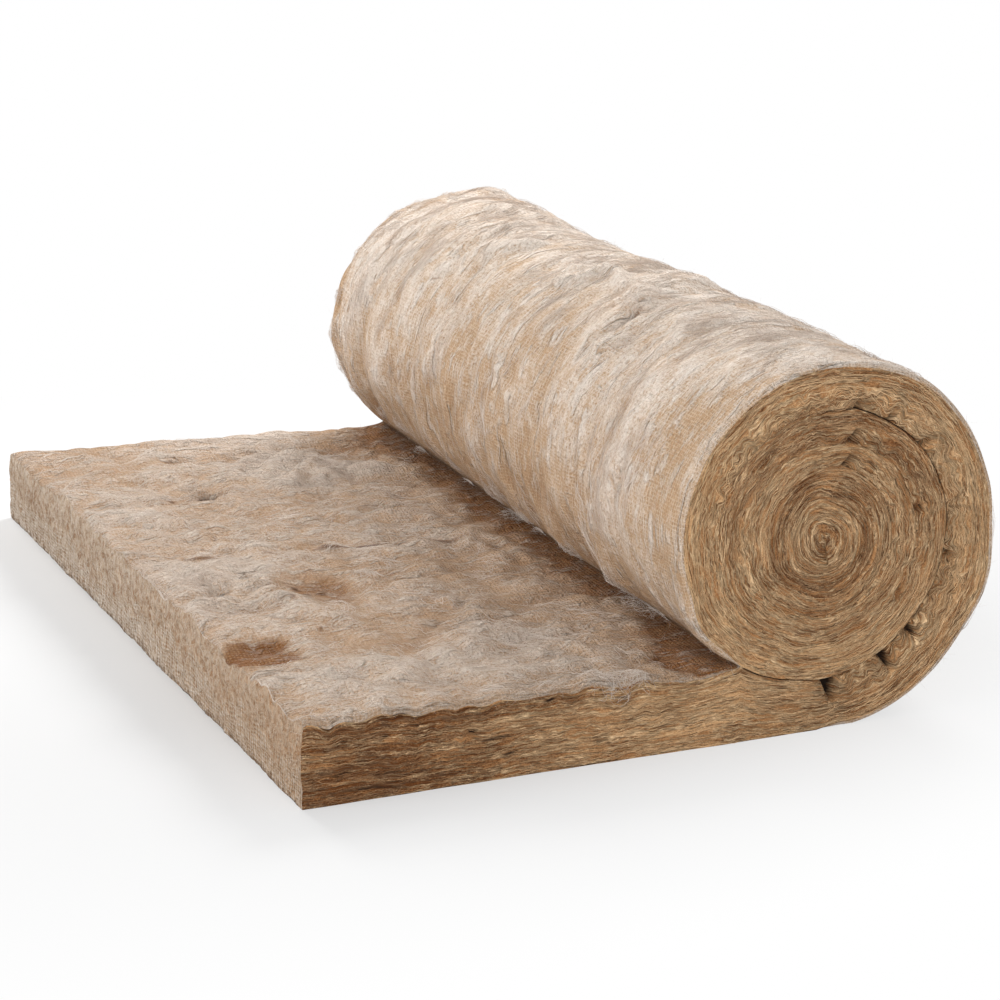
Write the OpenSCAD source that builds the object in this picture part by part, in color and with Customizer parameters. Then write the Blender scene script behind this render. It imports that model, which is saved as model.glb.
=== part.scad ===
// Insulation roll: one mat of mineral wool, partly rolled up, with its tail lying flat on the floor.
// The side view lies in the XZ plane, the mat's width runs along Y and the floor is Z = 0.
// The winding is a spiral of half turns. Each half turn is a semicircle, wound tighter than the
// one outside it, and it starts where that one ends: above or below the roll's axis line.
// Half turn 0 is the right half of the roll, half turn 1 its left half, half turn 2 the next
// right half inside them, and so on. The turns are pressed together and show on the ends as seams.

/* [Mat] */
// Width of the mat, which is the length of the roll
mat_width = 1140; // [380:10:1200]
// Thickness of the mat at its free end
mat_thickness = 100; // [80:5:120]
// Thickness of the mat where the roll starts to press on it
nip_thickness = 90; // [70:5:120]
// Length lying flat, from the cut end's near corner to below the roll's axis
tail_length = 630; // [350:10:1500]
// How much further the cut end reaches at the far corner than at the near one
end_skew = 50; // [-80:5:80]

/* [Winding] */
// Radius of the outermost half turn, which is half the roll's height
roll_radius = 218; // [180:2:300]
// Radius of a half turn as a share of the one outside it
wind_ratio = 0.86; // [0.83:0.01:0.9]
// Number of half turns that can be told apart on the ends
half_turns = 12; // [6:1:14]

/* [Seams] */
// Width of the open seam between two turns
seam_gap = 3; // [1:0.5:5]
// Depth to which the seams stand open, from either end
seam_depth = 60; // [20:5:150]

/* [Creases] */
// Radius of the two rounded lips of a crease, where the inner face of a turn has buckled
lip_radius = 14; // [8:1:18]
// Width of the fold that runs on from between the lips
fold_width = 3; // [1:0.5:5]
// Depth of the largest crease, from the seam to the end of its fold
crease_depth = 30; // [24:1:36]
// Depth to which the creases stand open, from either end
crease_reach = 90; // [30:5:200]

/* [Hidden] */
$fn = 96;
wool_colour = "#a98258";
// Overlap of a cutting shape past the face that it cuts
past = 1;
// Share of a lip's radius by which the lip bulges into the seam
lip_bulge = 0.15;
// Creases as [half turn on whose seam it opens, angle above the horizontal, size as a share of the largest]
creases = [
  [2, -84, 1], [2, -58, 0.9], [2, -43, 0.75], [2, -9, 0.6], [2, 42, 0.6], [2, 62, 0.5], [2, 78, 0.45],
  [4, 14, 0.6], [4, 76, 0.65], [4, -35, 0.45]
];
reach_back = tail_length + max(0, end_skew);
// The roll's axis is placed so that the whole part is centred on the origin
axis_x = (reach_back - roll_radius) / 2;
near_end_x = axis_x - tail_length;
far_end_x = near_end_x - end_skew;

function turn_radius(k) = roll_radius * pow(wind_ratio, k);
function turn_side(k) = k % 2 == 0 ? 1 : -1;
function turn_centre_z(k) =
  k < 1 ? roll_radius : turn_centre_z(k - 1) - turn_side(k) * (turn_radius(k - 1) - turn_radius(k));

// Half a disc to the right (side 1) or left (side -1) of the roll's axis line
module half_disc(radius, side) {
  intersection() {
    circle(r = radius);
    translate([side > 0 ? 0 : -radius - past, -radius - past]) square([radius + past, 2 * (radius + past)]);
  }
}

// Side view of one half turn, filled
module half_turn(k) {
  translate([axis_x, turn_centre_z(k)]) half_disc(turn_radius(k), turn_side(k));
}

// Side view of the seam along the outside of one half turn
module seam(k) {
  translate([axis_x, turn_centre_z(k)])
    difference() {
      half_disc(turn_radius(k) + seam_gap, turn_side(k));
      circle(r = turn_radius(k));
    }
}

// Side view of one crease, pointing up from its seam at the origin: a gap between two lips, and a fold
module crease(size) {
  lip = lip_radius * size;
  lip_y = lip * (1 - lip_bulge);
  lip_x = lip + fold_width / 2;
  difference() {
    translate([-lip_x, -seam_gap / 2]) square([2 * lip_x, lip_y + seam_gap / 2]);
    for (side = [-1, 1]) translate([side * lip_x, lip_y]) circle(r = lip);
  }
  translate([-fold_width / 2, 0]) square([fold_width, crease_depth * size]);
}

// A crease in its place on the outside of a half turn's seam
module placed_crease(k, angle, size) {
  translate([axis_x, turn_centre_z(k)])
    rotate(angle - 90) translate([0, turn_radius(k) + seam_gap / 2]) crease(size);
}

// Side view of the flat tail, from the furthest corner of its cut end to below the roll's axis
module tail() {
  end_x = min(near_end_x, far_end_x);
  polygon([[end_x, 0], [axis_x, 0], [axis_x, nip_thickness], [near_end_x, mat_thickness], [end_x, mat_thickness]]);
}

// Extrudes a side view along the mat's width, between two places on it
module across_width(from_y, to_y) {
  translate([0, to_y, 0]) rotate([90, 0, 0]) linear_extrude(to_y - from_y) children();
}

// Extrudes a side view into both ends of the roll, to the given depth
module into_both_ends(depth) {
  across_width(-mat_width / 2 - past, -mat_width / 2 + depth) children();
  across_width(mat_width / 2 - depth, mat_width / 2 + past) children();
}

// What lies beyond the tail's cut end, which runs from the near corner to the far one
module beyond_cut_end() {
  clear_x = min(near_end_x, far_end_x) - past;
  half = mat_width / 2 + past;
  overrun = end_skew * past / mat_width;
  translate([0, 0, -past]) linear_extrude(mat_thickness + 2 * past)
    polygon([
      [clear_x - past, -half], [near_end_x + overrun, -half],
      [far_end_x - overrun, half], [clear_x - past, half]
    ]);
}

// The mat: tail and roll in one piece, with the seams and creases open on both ends
module wool_mat() {
  color(wool_colour)
    difference() {
      across_width(-mat_width / 2, mat_width / 2) {
        tail();
        half_turn(0);
        half_turn(1);
      }
      into_both_ends(seam_depth) for (k = [1 : half_turns]) seam(k);
      into_both_ends(crease_reach) for (c = creases) placed_crease(c[0], c[1], c[2]);
      beyond_cut_end();
    }
}

wool_mat();
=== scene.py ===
"""Looks of the insulation roll: a mat of brown mineral wool, partly rolled up, on a white studio floor.

Places on the mat are given as s, along the mat from the line below the roll's axis (negative on the
flat tail, positive up and round the roll), y, across the mat, and depth, into its thickness from the
face that is the outside of the roll and the underside of the tail. All are in metres.
"""

import math

import bpy
import numpy as np
from mathutils import Matrix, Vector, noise


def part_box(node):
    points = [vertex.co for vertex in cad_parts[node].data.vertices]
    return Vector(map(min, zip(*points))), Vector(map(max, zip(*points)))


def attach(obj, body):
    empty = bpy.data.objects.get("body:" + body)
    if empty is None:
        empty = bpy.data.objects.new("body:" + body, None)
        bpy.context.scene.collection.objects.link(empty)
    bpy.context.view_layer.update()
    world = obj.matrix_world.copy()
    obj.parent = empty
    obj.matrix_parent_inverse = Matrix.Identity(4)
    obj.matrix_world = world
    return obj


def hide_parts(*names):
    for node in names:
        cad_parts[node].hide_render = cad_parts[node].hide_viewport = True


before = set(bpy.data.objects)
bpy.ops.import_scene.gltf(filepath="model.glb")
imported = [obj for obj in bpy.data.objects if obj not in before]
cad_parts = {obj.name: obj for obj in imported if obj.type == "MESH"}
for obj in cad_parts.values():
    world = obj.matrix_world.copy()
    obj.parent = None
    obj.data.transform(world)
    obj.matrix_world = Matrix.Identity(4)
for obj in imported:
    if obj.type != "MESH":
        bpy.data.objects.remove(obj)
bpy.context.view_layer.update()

# Sizes of the mat, as in the construction
mat_low, mat_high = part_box("wool_mat")
MAT_WIDTH = mat_high.y - mat_low.y
HALF_WIDTH = MAT_WIDTH / 2
ROLL_RADIUS = (mat_high.z - mat_low.z) / 2
AXIS_X = mat_high.x - ROLL_RADIUS
TAIL_LENGTH = 0.63
NEAR_END_X = AXIS_X - TAIL_LENGTH
FAR_END_X = mat_low.x
MAT_THICKNESS = 0.10
NIP_THICKNESS = 0.09
WIND_RATIO = 0.86
HALF_TURNS = 14

# How far the outer turn sags out on the right, under its own weight
ROLL_SAG = 0.010
# Rounding of the mat's near and far edges
NEAR_ROUND = 0.006
FAR_ROUND = 0.012
# Length over which that rounding sets in, from the nip and from the line below the roll's axis
ROUND_FADE = 0.03
# Lowest and highest place of a fibre, and how far it may reach across from the mat's middle line
FIBRE_LOW = 0.001
FIBRE_TOP = mat_high.z + 0.018
FIBRE_SIDE = HALF_WIDTH + 0.016
# How far tufts stay away from the nip, where the roll meets the tail's top
NIP_CLEAR = 0.002

# Creases on the roll's ends, as (half turn on whose seam it opens, angle in degrees, share of the largest)
CREASES = [
    (2, -84, 1.0), (2, -58, 0.9), (2, -43, 0.75), (2, -9, 0.65), (2, 42, 0.55), (2, 62, 0.5),
    (2, 78, 0.5), (4, 14, 0.55), (4, 76, 0.6), (4, -35, 0.4),
]
# Depth and width of the largest crease, how far its pit goes in, and the width of its fold
CREASE_DEPTH = 0.030
CREASE_WIDTH = 0.017
CREASE_PIT = 0.022
FOLD_WIDTH = 0.004
# How far from the centre the innermost turns are squeezed out of round, and by how much
CORE_REACH = 0.12
CORE_SHIFT = 0.020
# How far the centre of the roll lies back from its ends
CORE_SUNK = 0.002
# How far along the mat the outer turn's inner part is crumpled
CRUMPLE_END_S = 1.02
# How much closer together the mesh's columns stand at a crease, and over how many degrees
CREASE_CROWD = 3.0
CREASE_SPAN = 2.2

# Steps of the mat's mesh: along a half turn, from below the roll's axis back to the nip, along the
# free part of the tail, and across the mat
TURN_STEPS = 96
UNDER_STEPS = 17
TAIL_STEPS = 104
WIDTH_STEPS = 180
# Places across the mat close to its sides, and the layers of the cut sides as shares of its thickness
EDGE_PLACES = (0.0, 0.002, 0.005, 0.010)
LAYERS = np.array([0, 0.03, 0.08, 0.15, 0.23, 0.31, 0.40, 0.50, 0.60, 0.69, 0.77, 0.85, 0.92, 0.97, 1])
MIDDLE_LAYER = len(LAYERS) // 2

# Patches on the tail's top, as (s, y, half length, half width, share): pale where the wool stands up,
# and negative where the brown underlayer shows
TAIL_PATCHES = [
    (-0.31, 0.33, 0.10, 0.09, 0.45), (-0.59, 0.45, 0.09, 0.08, -0.06), (-0.33, 0.52, 0.16, 0.04, 0.20),
    (-0.56, -0.07, 0.07, 0.07, 0.35), (-0.42, -0.47, 0.20, 0.05, 0.12),
    (-0.29, -0.49, 0.12, 0.05, 0.12), (-0.30, -0.40, 0.06, 0.03, 0.30),
    (-0.56, -0.45, 0.07, 0.06, 0.12), (-0.12, -0.33, 0.06, 0.05, 0.35),
    (-0.16, 0.46, 0.09, 0.09, -0.40), (-0.25, -0.12, 0.13, 0.06, -0.22),
    (-0.30, -0.28, 0.12, 0.03, -0.20), (-0.47, -0.375, 0.07, 0.015, -0.25),
    (-0.13, 0.10, 0.04, 0.20, -0.30), (-0.12, -0.43, 0.03, 0.06, -0.30),
    (-0.50, 0.265, 0.04, 0.02, -0.20), (-0.55, 0.12, 0.05, 0.02, -0.15),
    (-0.58, -0.215, 0.05, 0.012, -0.20),
]
# Sharp-edged places there where the gauze lies bare, in the same form
BARE_PATCHES = [
    (-0.598, -0.347, 0.043, 0.044, -0.85), (-0.468, -0.155, 0.046, 0.076, -0.42),
    (-0.125, -0.526, 0.060, 0.058, -1.15),
]
# Patches on the outside of the roll, in the same form
ROLL_PATCHES = [
    (0.775, 0.105, 0.030, 0.045, -0.50), (0.82, 0.084, 0.030, 0.025, -0.50),
    (0.87, 0.09, 0.035, 0.022, -0.40), (0.691, 0.150, 0.020, 0.030, -0.35),
    (0.831, -0.094, 0.05, 0.06, -0.28), (0.87, -0.179, 0.04, 0.05, -0.32),
    (0.761, -0.120, 0.025, 0.06, -0.18), (0.839, -0.488, 0.06, 0.05, -0.30),
    (0.79, -0.534, 0.06, 0.03, -0.25), (0.885, -0.505, 0.08, 0.04, -0.28),
    (0.963, 0.085, 0.05, 0.04, -0.25), (1.02, 0.145, 0.05, 0.06, -0.35),
    (1.06, 0.347, 0.03, 0.06, -0.45), (1.084, 0.458, 0.03, 0.05, -0.40),
    (0.82, 0.560, 0.06, 0.015, -0.40), (1.04, -0.15, 0.06, 0.10, -0.35),
    (0.97, -0.54, 0.08, 0.03, -0.25), (1.06, -0.33, 0.04, 0.12, -0.30), (0.93, -0.42, 0.12, 0.03, 0.30),
    (1.0, -0.40, 0.07, 0.03, 0.30), (0.90, 0.37, 0.10, 0.10, 0.22), (0.69, -0.385, 0.06, 0.15, 0.35),
    (0.69, -0.20, 0.05, 0.10, 0.25), (0.66, 0.30, 0.08, 0.15, 0.25), (0.93, -0.29, 0.06, 0.02, 0.22),
    (0.91, -0.10, 0.04, 0.02, 0.20), (0.86, 0.49, 0.14, 0.06, 0.40),
]
# Brown and pale places on the mat's cut sides, which are the tail's sides and the roll's ends, as
# (s, depth, half length, half depth, share)
SIDE_PATCHES = [
    (-0.58, 0.05, 0.15, 0.08, -0.42), (-0.42, 0.088, 0.16, 0.016, -0.35),
    (-0.45, 0.010, 0.20, 0.012, -0.30), (-0.25, 0.03, 0.14, 0.03, 0.12),
    (1.75, 0.02, 0.20, 0.03, -0.25), (2.05, 0.03, 0.20, 0.03, 0.15), (0.35, 0.03, 0.25, 0.03, 0.10),
    (3.40, 0.01, 0.60, 0.05, -0.12), (1.27, 0.02, 0.16, 0.03, 0.16), (-0.08, 0.05, 0.12, 0.05, 0.12),
]
# Hollows in the tail's cut sides, in the same form
SIDE_HOLLOWS = [
    (-0.51, 0.093, 0.05, 0.008, 1.0), (-0.43, 0.096, 0.05, 0.008, 0.9),
    (-0.43, 0.058, 0.012, 0.010, 1.0), (-0.54, 0.068, 0.03, 0.008, 0.7),
    (-0.40, 0.046, 0.05, 0.008, 0.6), (-0.34, 0.082, 0.04, 0.008, 0.7),
]
# Crevices between the layers of the near side, as (s at one end, depth there, s at the other end,
# depth there, strength of their painted shade)
SIDE_CREASES = [
    (-0.540, 0.093, -0.485, 0.096, 1.0), (-0.460, 0.098, -0.400, 0.095, 0.9),
    (-0.546, 0.065, -0.522, 0.072, 0.9), (-0.438, 0.060, -0.420, 0.059, 1.3),
    (-0.436, 0.050, -0.362, 0.045, 0.9), (-0.410, 0.026, -0.362, 0.031, 0.8),
    (-0.622, 0.092, -0.575, 0.094, 0.8), (-0.628, 0.038, -0.545, 0.029, 0.7),
    (-0.622, 0.014, -0.470, 0.009, 0.8), (-0.355, 0.081, -0.322, 0.084, 0.8),
    (-0.285, 0.077, -0.225, 0.073, 0.6), (-0.612, 0.072, -0.562, 0.070, 0.7),
    (-0.330, 0.026, -0.250, 0.031, 0.5), (-0.210, 0.050, -0.125, 0.055, 0.5),
    (-0.520, 0.083, -0.470, 0.080, 0.7),
]
# Places on the cut sides where the layers are crumpled, in the form of the hollows
SIDE_CRUMPLES = [
    (-0.47, 0.060, 0.05, 0.016, 0.45), (-0.54, 0.032, 0.05, 0.014, 0.35),
    (-0.28, 0.050, 0.08, 0.02, 0.4), (1.62, 0.035, 0.20, 0.02, 0.5), (1.95, 0.03, 0.15, 0.02, 0.4),
    (2.40, 0.02, 0.20, 0.02, 0.4),
]
# Dents in the tail's top, as (s, y, half length, half width, height): pits, creases and pulled lumps
TAIL_DENTS = [
    (-0.450, 0.420, 0.028, 0.020, -0.018), (-0.476, 0.264, 0.020, 0.017, -0.019),
    (-0.558, 0.006, 0.022, 0.010, -0.007), (-0.598, -0.146, 0.016, 0.014, -0.010),
    (-0.598, -0.347, 0.05, 0.045, -0.003), (-0.461, -0.155, 0.04, 0.06, -0.003),
    (-0.567, -0.06, 0.05, 0.03, 0.006), (-0.545, -0.122, 0.05, 0.02, 0.006),
    (-0.31, 0.33, 0.09, 0.06, 0.007), (-0.36, 0.27, 0.05, 0.02, 0.005),
    (-0.42, -0.47, 0.18, 0.04, 0.003), (-0.30, 0.62, 0.50, 0.12, -0.005),
    (-0.42, 0.38, 0.10, 0.035, 0.007), (-0.46, 0.33, 0.06, 0.03, 0.005),
    (-0.66, 0.55, 0.06, 0.06, 0.006),
]
# Dents in the outside of the roll, in the same form
ROLL_DENTS = [
    (0.66, 0.42, 0.10, 0.06, 0.010), (0.66, 0.05, 0.08, 0.05, -0.006),
    (0.77, -0.225, 0.04, 0.014, -0.008), (0.76, -0.195, 0.06, 0.02, 0.008),
    (0.90, -0.40, 0.15, 0.03, 0.004), (0.72, -0.26, 0.05, 0.03, 0.005), (0.80, 0.20, 0.10, 0.03, 0.005),
    (0.95, -0.20, 0.12, 0.025, 0.004), (1.00, 0.10, 0.10, 0.03, 0.005),
]
# Fine creases in the tail's top and the outside of the roll, as (s at one end, y there, s at the other
# end, y there, strength of their painted shade)
TAIL_CREASES = [
    (-0.465, 0.438, -0.435, 0.405, 2.2), (-0.488, 0.272, -0.464, 0.255, 2.4),
    (-0.490, 0.435, -0.465, 0.443, 0.5), (-0.592, 0.015, -0.528, 0.001, 0.9),
    (-0.497, -0.006, -0.450, -0.028, 0.6), (-0.450, 0.000, -0.262, -0.011, 1.3),
    (-0.290, -0.010, -0.189, -0.019, 0.7), (-0.493, -0.125, -0.478, -0.147, 0.9),
    (-0.492, -0.168, -0.474, -0.171, 1.0), (-0.472, -0.157, -0.450, -0.158, 1.1),
    (-0.542, -0.086, -0.526, -0.084, 0.7), (-0.608, -0.145, -0.587, -0.146, 1.1),
    (-0.633, -0.322, -0.599, -0.303, 0.5), (-0.599, -0.303, -0.553, -0.335, 0.4),
    (-0.637, -0.379, -0.613, -0.392, 0.4), (-0.551, -0.183, -0.541, -0.183, 0.8),
    (-0.517, -0.302, -0.509, -0.308, 0.9), (-0.515, -0.197, -0.512, -0.220, 0.6),
    (-0.474, -0.224, -0.444, -0.232, 0.6), (-0.530, 0.273, -0.522, 0.250, 0.7),
    (-0.400, 0.247, -0.310, 0.355, 0.4),
]
ROLL_CREASES = [
    (0.735, -0.205, 0.795, -0.225, 1.3), (0.671, -0.194, 0.748, -0.209, 0.6),
    (0.735, -0.411, 0.766, -0.400, 0.9), (0.815, -0.273, 0.839, -0.330, 0.4),
    (1.000, 0.334, 1.016, 0.297, 1.0), (1.057, 0.372, 1.078, 0.348, 0.8),
    (0.837, 0.264, 0.852, 0.288, 1.0), (1.007, 0.519, 1.018, 0.498, 0.9),
    (0.788, -0.558, 0.802, -0.549, 0.6), (0.890, 0.012, 0.972, -0.042, 0.4),
    (0.932, 0.158, 0.951, 0.138, 0.5), (0.868, -0.264, 0.928, -0.312, 0.35),
    (0.788, -0.364, 0.810, -0.423, 0.4), (0.794, 0.420, 0.807, 0.435, 0.7),
    (0.847, 0.170, 0.874, 0.180, 0.5),
]
# Raised folds of pulled wool there, as (s at one end, y there, s at the other end, y there, height)
TAIL_FOLDS = [
    (-0.37, 0.25, -0.28, 0.38, 0.008), (-0.42, 0.34, -0.34, 0.425, 0.007),
    (-0.34, 0.425, -0.30, 0.38, 0.005), (-0.595, -0.09, -0.52, -0.105, 0.008),
    (-0.565, -0.12, -0.515, -0.165, 0.008), (-0.625, -0.185, -0.53, -0.20, 0.007),
    (-0.58, 0.19, -0.55, 0.13, 0.006), (-0.515, 0.47, -0.47, 0.445, 0.006),
    (-0.545, 0.015, -0.49, 0.03, 0.006), (-0.63, -0.46, -0.585, -0.43, 0.006),
    (-0.63, -0.025, -0.575, -0.07, 0.006), (-0.59, 0.36, -0.48, 0.33, 0.006),
    (-0.305, 0.285, -0.18, 0.305, 0.005), (-0.375, -0.385, -0.245, -0.385, 0.004),
    (-0.46, -0.25, -0.36, -0.27, 0.004),
]
ROLL_FOLDS = [
    (0.76, -0.02, 0.71, -0.03, 0.009), (0.71, -0.03, 0.72, -0.165, 0.010),
    (0.82, 0.255, 0.76, 0.205, 0.008), (0.76, 0.205, 0.725, 0.155, 0.008),
    (0.77, 0.285, 0.695, 0.285, 0.007), (0.715, 0.08, 0.73, 0.005, 0.006),
    (0.745, -0.19, 0.665, -0.17, 0.008), (0.815, -0.235, 0.76, -0.23, 0.006),
    (0.735, -0.29, 0.755, -0.34, 0.007), (0.73, -0.335, 0.675, -0.345, 0.006),
    (0.68, 0.385, 0.645, 0.30, 0.007), (0.69, -0.12, 0.61, -0.10, 0.006),
    (0.975, 0.19, 0.895, 0.165, 0.005), (0.895, -0.025, 0.935, -0.09, 0.005),
    (0.875, -0.41, 0.98, -0.395, 0.005),
]
# Tufts of loose wool, as (s, y, half size), on the tail's top and on the outside of the roll
TAIL_TUFTS = [
    (-0.105, 0.06, 0.018), (-0.10, 0.03, 0.016), (-0.10, -0.02, 0.012), (-0.11, -0.33, 0.022),
    (-0.105, -0.37, 0.018), (-0.10, -0.29, 0.015), (-0.264, -0.562, 0.020), (-0.235, -0.560, 0.014),
    (-0.59, -0.10, 0.020), (-0.30, -0.40, 0.024), (-0.39, -0.13, 0.015), (-0.10, 0.22, 0.012),
    (-0.10, 0.40, 0.014),
]
ROLL_TUFTS = [
    (1.110, 0.061, 0.016), (1.10, 0.03, 0.014), (1.105, -0.33, 0.016), (1.10, 0.45, 0.012),
    (0.825, 0.542, 0.018), (0.70, 0.36, 0.02), (0.755, -0.20, 0.015), (0.735, -0.32, 0.02),
    (0.69, -0.44, 0.018), (0.80, -0.26, 0.014), (0.72, 0.20, 0.016), (0.66, 0.45, 0.02),
    (1.05, 0.50, 0.012), (0.64, 0.30, 0.016), (0.74, 0.555, 0.016), (0.78, 0.558, 0.014),
    (0.86, 0.558, 0.014), (0.93, 0.558, 0.012), (0.99, 0.558, 0.016), (1.04, 0.555, 0.018),
    (1.08, 0.54, 0.016), (0.69, 0.555, 0.014), (1.112, -0.05, 0.012), (1.112, -0.20, 0.014),
    (1.112, 0.20, 0.012), (0.715, 0.035, 0.014), (0.725, -0.18, 0.012), (0.69, -0.40, 0.014),
    (1.03, 0.31, 0.012), (1.09, 0.36, 0.012),
]

# Width of a raised fold, and seeds of the mounds and thin folds, which cover and height share
TAIL_FOLD_WIDTH = 0.011
ROLL_FOLD_WIDTH = 0.010
TAIL_MOUNDS = 21
ROLL_MOUNDS = 25
TAIL_PLEATS = 61
ROLL_PLEATS = 71
# Dents deeper than this get painted shade, by this much for each metre of depth
PIT_DEPTH = 0.0075
PIT_SHADE = 60
# How much painted shade browns the nip, how much browner the tail's edges are, and how far that reaches
NIP_SHADE = 1.15
NIP_REACH = 0.042
EDGE_BROWN = 0.10
EDGE_REACH = 0.004
# Pitch of the gauze in the skin, and of the ribs and rows on the cut end
GAUZE_PITCH = 0.0044
RIB_PITCH = 0.0062
ROW_PITCH = 0.0050

# Sides of a loose fibre
FIBRE_SIDES = 3
# Strength of the light from all round, where 1 would light a white surface fully
ROOM_LIGHT = 0.42
# Share of plain white in the floor's look near the mat
FLOOR_WHITE = 0.05
# Ellipse on the floor from which it fades to plain white, and the shares of its size between which it does
FADE_CENTRE = (-0.5, 0.1, 0.0)
FADE_SIZE = (1.0, 0.6, 1.0)
FADE_START = 0.5
FADE_END = 1.9
# Radius and corners of the floor, and the part of the light that it sends back
FLOOR_REACH = 12.0
FLOOR_CORNERS = 64
FLOOR_GREY = (0.65, 0.65, 0.65, 1.0)
WHITE = (1.0, 1.0, 1.0, 1.0)
# Soft boxes, as (name, place, target, size, watts)
LAMPS = [
    ("back_left", (-0.7, 2.2, 1.7), (-0.1, 0.0, 0.1), 1.0, 48.0),
    ("back_right", (1.6, 1.4, 2.0), (0.1, 0.0, 0.2), 1.4, 66.0),
    ("left_key", (-2.4, -0.6, 1.0), (0.0, 0.0, 0.2), 1.4, 31.0),
    ("front_fill", (-0.5, -3.2, 0.8), (0.0, 0.0, 0.2), 2.0, 49.0),
]
# The camera's place, its heading, pitch and tilt in degrees, and its lens and sensor in millimetres
CAMERA_PLACE = (-1.216, -2.955, 1.113)
CAMERA_TURN = (23.6, -16.9, 0.88)
LENS = 92.0
SENSOR = 36.0


# Side view of the mat

def turn_radius(k):
    """Radius of a half turn, counted from the outermost."""
    return ROLL_RADIUS * WIND_RATIO ** k


def turn_centre_z(k):
    """Height of a half turn's centre: each half turn starts where the one before it ends."""
    z = ROLL_RADIUS
    for turn in range(1, k + 1):
        side = 1 if turn % 2 == 0 else -1
        z -= side * (turn_radius(turn - 1) - turn_radius(turn))
    return z


def tail_top(x):
    """Height of the tail's top, before its lumps."""
    return MAT_THICKNESS + (NIP_THICKNESS - MAT_THICKNESS) * (x - NEAR_END_X) / TAIL_LENGTH


def find_nip_x():
    """Where the outside of the roll meets the tail's top."""
    x = AXIS_X - turn_radius(1) / 2
    for _ in range(30):
        rise = turn_centre_z(1) - tail_top(x)
        x = AXIS_X - math.sqrt(turn_radius(1) ** 2 - rise ** 2)
    return x


def right_angles():
    """Angles of the columns along a half turn on the right, closer together at the creases."""
    fine = np.linspace(-90, 90, 1801)
    crowd = np.ones_like(fine)
    for _, angle, _ in CREASES:
        crowd += CREASE_CROWD * np.exp(-((fine - angle) / CREASE_SPAN) ** 2)
    reached = np.concatenate([[0], np.cumsum(crowd[1:])])
    return np.radians(np.interp(np.linspace(0, reached[-1], TURN_STEPS + 1), reached, fine))


NIP_X = find_nip_x()
NIP_S = NIP_X - AXIS_X
NIP_ANGLE = 2 * math.pi - math.acos(NIP_S / turn_radius(1))
TOP_S = math.pi * ROLL_RADIUS
ROLL_END_S = TOP_S + turn_radius(1) * (NIP_ANGLE - math.pi / 2)
AXIS_COLUMN = TAIL_STEPS + UNDER_STEPS
FULL_TURN = 2 * TURN_STEPS
NIP_COLUMN = TAIL_STEPS + FULL_TURN
LAST_COLUMN = AXIS_COLUMN + HALF_TURNS * TURN_STEPS
TAIL_SHARES = np.concatenate([[0], np.linspace(NEAR_ROUND / (NIP_X - NEAR_END_X), 1, TAIL_STEPS)])
RIGHT_ANGLES = right_angles()


def turn_angles(k):
    """Angles of the columns along a half turn. Those on the left have one at the nip."""
    if k % 2 == 0:
        return RIGHT_ANGLES
    above = np.linspace(math.pi / 2, NIP_ANGLE, TURN_STEPS - UNDER_STEPS + 1)
    under = np.linspace(NIP_ANGLE, 1.5 * math.pi, UNDER_STEPS + 1)
    return np.concatenate([above, under[1:]])


def end_x_at(y):
    """Where the tail's cut end lies: it is cut a little askew."""
    return NEAR_END_X + (FAR_END_X - NEAR_END_X) * (y + HALF_WIDTH) / MAT_WIDTH


def sag(angle):
    """How far the outer turn stands out at an angle on the right: most below the middle."""
    return ROLL_SAG * max(math.cos(angle), 0) ** 0.6 * (1 - 0.35 * math.sin(angle))


def outer_face(end_x):
    """The outer face in the side view, one row of x, z, normal x, normal z, s for each column.
    It runs on for a turn past the last column, to give that turn its inner face."""
    under = AXIS_X + turn_radius(1) * np.cos(turn_angles(1)[-UNDER_STEPS:])
    tail = np.concatenate([end_x + TAIL_SHARES * (NIP_X - end_x), under])
    rows = [(x, 0.0, 0.0, -1.0, x - AXIS_X) for x in tail]
    start = 0.0
    for k in range(HALF_TURNS + 2):
        radius, centre_z, angles = turn_radius(k), turn_centre_z(k), turn_angles(k)
        for angle in angles[1:]:
            along, up = math.cos(angle), math.sin(angle)
            reach = radius + (sag(angle) if k == 0 else 0)
            s = start + radius * (angle - angles[0])
            rows.append((AXIS_X + reach * along, max(centre_z + reach * up, 0), along, up, s))
        start += math.pi * radius
    return np.array(rows)


# Lumps and patches

def grown(value, reach):
    """From 0 to 1 as a value grows from 0 to its reach."""
    return np.clip(value / reach, 0, 1)


def smoothed(values, reach):
    """Values along a line, each the mean of those up to reach places before and after it."""
    span = 2 * reach + 1
    return np.convolve(np.pad(values, reach, mode="edge"), np.ones(span) / span, mode="valid")


def stacked(x, y, z):
    """A grid of x, y, z, of which some may be given as a row or a column."""
    return np.stack(np.broadcast_arrays(x, y, z), -1)


def lumps(s, y, size, seed):
    """Smooth noise from about -1 to 1 at places on the mat, with lumps of the given length and width."""
    s, y = np.broadcast_arrays(s, y)
    length, width = size
    found = [noise.noise((a / length, b / width, seed * 7.31)) for a, b in zip(s.ravel(), y.ravel())]
    return np.array(found).reshape(s.shape)


def patches(s, y, places, edge=1.5):
    """Sum of patches, each (s, y, half length, half width, strength), with soft edges or sharper ones."""
    total = np.zeros(np.broadcast(s, y).shape)
    for at_s, at_y, half_length, half_width, strength in places:
        away = ((s - at_s) / half_length) ** 2 + ((y - at_y) / half_width) ** 2
        total += strength * np.exp(-away ** edge)
    return total


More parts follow.
